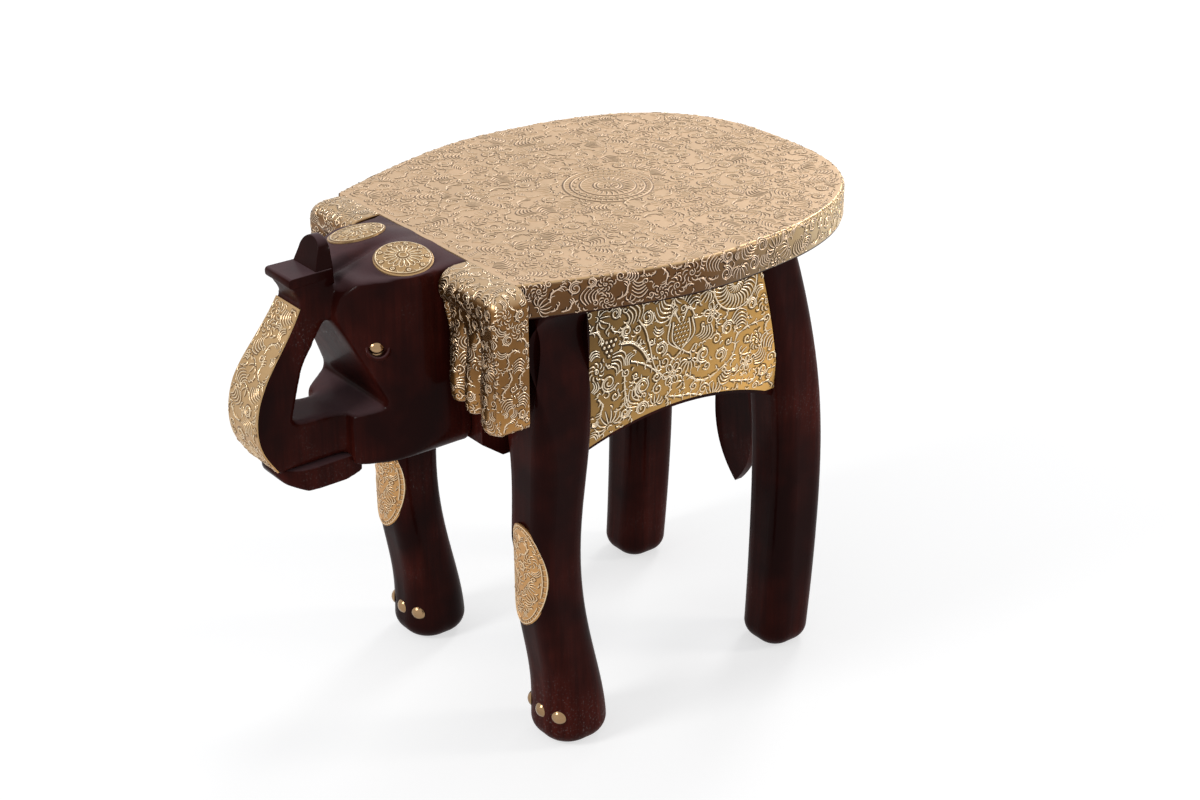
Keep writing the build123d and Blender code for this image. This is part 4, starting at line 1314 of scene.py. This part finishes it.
# %% Ear pieces
def make_ear(word, side):
    """The brass cover of an ear and its wooden back, and the ear's measures in mm."""
    low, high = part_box(word + "_ear_sheet")
    x_in, x_out = sorted((abs(low.x) / MM, abs(high.x) / MM))
    top, foot, front, back = high.z / MM, low.z / MM, low.y / MM, high.y / MM
    work = bmesh.new()
    bmesh.ops.create_grid(work, x_segments=64, y_segments=84, size=0.5)
    for vertex in work.verts:
        share, level = vertex.co.x + 0.5, 0.5 - vertex.co.y
        inner = x_in + ear_taper * level ** 1.5
        x = inner + (x_out - inner) * share
        reach = max(0.0, x - (x_out - ear_roll))
        head = top - (ear_roll - math.sqrt(max(0.0, ear_roll ** 2 - reach ** 2)))
        z = head + (foot + ear_foot(share) - head) * level
        depth = ear_front(share, x, z, inner, x_out, top, foot)
        vertex.co = (side * x * MM, min(back - 1, front + depth) * MM, z * MM)
    border = [edge for edge in work.edges if edge.is_boundary]
    pulled = bmesh.ops.extrude_edge_only(work, edges=border)["geom"]
    for vertex in (item for item in pulled if isinstance(item, bmesh.types.BMVert)):
        vertex.co.y = (back - 0.1) * MM
    bmesh.ops.remove_doubles(work, verts=work.verts, dist=1e-6)
    bmesh.ops.recalc_face_normals(work, faces=work.faces)
    foremost = min(work.faces, key=lambda face: face.calc_center_median().y)
    if foremost.normal.y > 0:
        bmesh.ops.reverse_faces(work, faces=work.faces)
    for face in work.faces:
        face.smooth = True
    brass = new_mesh(word + "_ear_cover")
    work.to_mesh(brass)
    edge_loop = {vertex for edge in work.edges if edge.is_boundary for vertex in edge.verts}
    bmesh.ops.delete(work, geom=[v for v in work.verts if v not in edge_loop], context="VERTS")
    rim = [edge for edge in work.edges if edge.is_boundary or edge.is_wire]
    bmesh.ops.edgeloop_fill(work, edges=rim)
    bmesh.ops.recalc_face_normals(work, faces=work.faces)
    wood = pour(work, new_mesh(word + "_ear_back"), smooth=False)
    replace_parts(keep(brass, word + "_ear_cover", "ear_brass"), word + "_ear_sheet")
    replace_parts(keep(wood, word + "_ear_back", "dark_wood"), word + "_ear")
    return brass, (x_in, x_out, top, foot, front, back)


# %% Ear ornament
def dress_ear(word, side, brass, measures, seed):
    """Ornament on the front, the outer side and the top of one ear."""
    x_in, x_out, top, foot, front, back = measures
    tree = feel(brass)

    def ray(start, direction, limit=0.45):
        found = touch(tree, start, direction)
        if found is None or -found[1].dot(Vector(direction)) < limit:
            return None
        return found

    def on_front(x, y):
        return ray((side * x * MM, -0.3, y * MM), (0, 1, 0))

    def on_side(x, y):
        return ray((side * 0.3, x * MM, y * MM), (-side, 0, 0))

    def on_top(x, y):
        return ray((side * x * MM, y * MM, 0.4), (0, 0, -1), 0.75)

    for label, carry, box, height in (
        ("front", on_front, (x_in, foot, x_out, top), 0.24),
        ("side", on_side, (front, foot, back, top), 0.3),
        ("top", on_top, (x_in, front, x_out, back), 0.26),
    ):
        strokes = covered(
            room_on(carry, -0.3), box, ((4.4, 0.1), (3.3, 0.3), (2.3, 0.6)),
            seed=seed, closeness=0.86, large=3.8, spacing=1.8, length=2.0,
        )
        laid(strokes, ridge(1.3, height), carry, f"{word}_ear_{label}_ornament", "ear_brass")


for word, side, seed in (("left", 1, 41), ("right", -1, 51)):
    dress_ear(word, side, *make_ear(word, side), seed)

# %% [markdown]
# ## Strip of the trunk
# The strip has ornament of its own and bends round the chin. It is felt with rays towards a
# point behind it, which gives its line from the foot to the top. The drawing's y runs along
# that line, and each of its points is carried onto the strip by a ray of its own.

# %% Trunk strip
strip_low, strip_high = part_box("trunk_strip")
strip_half_width = 16


def measure_strip(steps):
    """The line down the middle of the strip, felt from all round, in mm."""
    middle_z = (strip_low.z + strip_high.z) / 2
    centre = Vector((0, strip_high.y + 0.006, middle_z - 0.004))
    line = []
    for i in range(steps + 1):
        angle = math.pi * (1.5 - i / steps)
        out = Vector((0, math.cos(angle), -math.sin(angle)))
        found = touch(trees["trunk_strip"], centre + out * 0.1, -out)
        if found:
            line.append((found[0].y / MM, found[0].z / MM))
    line = np.array(line)
    return line, distances(line)


strip_line, strip_lengths = measure_strip(90)
print("strip length:", round(strip_lengths[-1], 1), "mm")


def on_strip(x, y):
    if not 0.3 < y < strip_lengths[-1] - 0.3:
        return None
    place, further = (point_at(strip_line, strip_lengths, at) for at in (y, y + 0.5))
    along = Vector((0, *(further - place))).normalized()
    out = Vector((0, -abs(along.z), along.y if along.z > 0 else -along.y))
    if out.length < 1e-6:
        return None
    out.normalize()
    start = Vector((x, *place)) * MM + out * 0.004
    return touch(trees["trunk_strip"], start, -out)


strip_strokes = covered(
    room_on(on_strip, 0.2), (-strip_half_width, 0, strip_half_width, strip_lengths[-1]),
    ((5.6, 0.1), (4.2, 0.3), (3.0, 0.4)),
    seed=61, closeness=0.88, large=5.0, spacing=2.5, length=2.9, gaps=room_on(on_strip, -0.4),
)
laid(strip_strokes, ridge(1.6, 0.4), on_strip, "trunk_strip_ornament", "ornament_brass")


# %% [markdown]
# ## Forehead and knees
# A small disc sits on each dome of the forehead, and an oval on each front knee. A disc is
# felt along its own axis, and an oval straight from the front.

# %% Forehead discs
disc_radius = 16.2


def disc_strokes(radius):
    """A ring of petals between a small eye and a ring of beads and arcs."""
    strokes = [ring(radius - 0.9), ring(radius * 0.16, 1.0, 10)]
    strokes += wheel([petal(radius * 0.42, radius * 0.16)], 18, radius * 0.24)
    bead = [ring(radius * 0.075, 1.0, 8), ring(radius * 0.02, 0.8, 6)]
    for i in range(9):
        x, y = on_circle(2 * math.pi * (i + 0.5) / 9)[0] * radius * 0.8
        strokes += moved(bead, x, y)
    return strokes + wheel([arc(radius * 0.13, -1.4, 1.4, 0.9, 5)], 9, radius * 0.8)


def disc_place(side):
    """The top of one disc and the way it faces."""
    corners = np.array([v.co for v in nodes["forehead_discs"].data.vertices if v.co.x * side > 0])
    middle = (corners.min(0) + corners.max(0)) / 2
    _, normal = touch(trees["forehead_discs"], (middle[0], middle[1], 0.4), (0, 0, -1))
    return Vector((middle[0], middle[1], corners.max(0)[2])), normal


for word, side in (("left", 1), ("right", -1)):
    middle, axis = disc_place(side)
    across = (Vector((1, 0, 0)) - axis * axis.x).normalized()
    along = axis.cross(across)

    def on_disc(x, y):
        start = middle + axis * 0.02 + across * (x * MM) + along * (y * MM)
        return touch(trees["forehead_discs"], start, -axis)

    laid(disc_strokes(disc_radius), ridge(1.4, 0.4), on_disc, word + "_disc_ornament",
         "ornament_brass")


# %% Knee ovals
knee_low, knee_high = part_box("knee_plates")
knee_inner = min(v.co.x for v in nodes["knee_plates"].data.vertices if v.co.x > 0)
knee_x, knee_half_width = (knee_inner + knee_high.x) / 2 / MM, (knee_high.x - knee_inner) / 2 / MM
knee_z, knee_half_height = ((knee_low.z + knee_high.z) / 2 / MM,
                            (knee_high.z - knee_low.z) / 2 / MM)
knee_border = 3.2


def on_knee(x, y):
    return touch(trees["knee_plates"], (x * MM, -0.3, y * MM), (0, 1, 0))


def oval(inset, angles):
    return on_circle(angles) * (knee_half_width - inset, knee_half_height - inset)


def in_oval(x, y, radius):
    inset = knee_border + radius
    return (x / (knee_half_width - inset)) ** 2 + (y / (knee_half_height - inset)) ** 2 < 1


def knee_strokes():
    """A hatched border, and figures inside it."""
    all_round = np.linspace(0, 2 * math.pi, 48, endpoint=False)
    strokes = [stroke(oval(0.8, all_round), 1.0, True), stroke(oval(3.0, all_round), 0.9, True)]
    hatches = 2 * math.pi * np.arange(52) / 52
    strokes += [stroke(ends, 0.7) for ends in zip(oval(1.2, hatches), oval(2.7, hatches))]
    return strokes + covered(
        in_oval, (-knee_half_width, -knee_half_height, knee_half_width, knee_half_height),
        ((4.4, 0.1), (3.2, 0.3), (2.3, 0.5)),
        seed=71, closeness=0.86, large=4.0, spacing=2.1, length=2.3,
    )


for word, side in (("left", 1), ("right", -1)):
    laid(moved(knee_strokes(), side * knee_x, knee_z), ridge(1.3, 0.34), on_knee,
         word + "_knee_ornament", "ornament_brass")

# %% [markdown]
# ## Light, floor and background
# Three soft lamps from the front, the side and the back light the stool at a plain level.
# The background is white for the camera, for metal and for glass, and greyer for the light
# that falls on the stool, so that the dark wood keeps its depth. The floor glows for the
# same rays, and more with distance, so that it keeps the shadow and then runs into white.

# %% World and floor
def seen_mask(tree):
    """1 for rays from the camera, a mirror or glass."""
    path = add(tree, "ShaderNodeLightPath")
    both = calculate(tree, "MAXIMUM", path.outputs["Is Camera Ray"], path.outputs["Is Glossy Ray"])
    return calculate(tree, "MAXIMUM", both, path.outputs["Is Transmission Ray"])


world = bpy.data.worlds.new("white room")
scene.world = world
world.use_nodes = True
room = world.node_tree
room.nodes.clear()
plain = add(room, "ShaderNodeBackground", Color=(0.95, 0.97, 1.0, 1), Strength=0.5)
white = add(room, "ShaderNodeBackground", Color=(1, 1, 1, 1), Strength=1.0)
choose = add(room, "ShaderNodeMixShader")
join(room, seen_mask(room), choose.inputs[0])
join(room, plain.outputs[0], choose.inputs[1])
join(room, white.outputs[0], choose.inputs[2])
join(room, choose.outputs[0], add(room, "ShaderNodeOutputWorld").inputs[0])

floor_work = bmesh.new()
bmesh.ops.create_circle(floor_work, cap_ends=True, segments=96, radius=6.0)
floor_mesh = pour(floor_work, new_mesh("floor"), smooth=False)
floor = bpy.data.objects.new("floor", floor_mesh)
scene.collection.objects.link(floor)
floor_paint, floor_tree, floor_shader = new_material("pale floor")
floor_shader.inputs["Base Color"].default_value = (0.5, 0.5, 0.5, 1)
floor_shader.inputs["Roughness"].default_value = 0.9
floor_shader.inputs["Specular IOR Level"].default_value = 0.0
floor_shader.inputs["Emission Color"].default_value = (1, 1, 1, 1)
floor_place = add(floor_tree, "ShaderNodeVectorMath", operation="LENGTH")
floor_spot = add(floor_tree, "ShaderNodeTexCoord").outputs["Object"]
join(floor_tree, floor_spot, floor_place.inputs[0])
floor_glow = spread(floor_tree, floor_place.outputs["Value"], 0.6, 1.8, 0.62, 0.85)
floor_seen = times(floor_tree, seen_mask(floor_tree), floor_glow)
join(floor_tree, floor_seen, floor_shader.inputs["Emission Strength"])
floor_mesh.materials.append(floor_paint)
print("floor radius:", round(floor_mesh.vertices[0].co.length, 2), "m")


# %% Lamps
def add_lamp(name, place, target, size, power, colour=(1, 1, 1)):
    data = bpy.data.lights.new(name, "AREA")
    data.shape = "DISK"
    data.size = size
    data.energy = power
    data.color = colour
    lamp = bpy.data.objects.new(name, data)
    lamp.location = place
    lamp.rotation_mode = "QUATERNION"
    lamp.rotation_quaternion = (Vector(target) - Vector(place)).to_track_quat("-Z", "Y")
    scene.collection.objects.link(lamp)


add_lamp("key lamp", (-0.2, -1.8, 1.5), (0, 0, 0.2), 0.6, 17)
add_lamp("side lamp", (1.3, 1.8, 0.9), (0, 0, 0.15), 0.5, 13, (1.0, 0.95, 0.9))
add_lamp("back lamp", (-0.8, 1.6, 1.5), (0, 0, 0.25), 0.6, 10)
print("lamps:", len(bpy.data.lights))
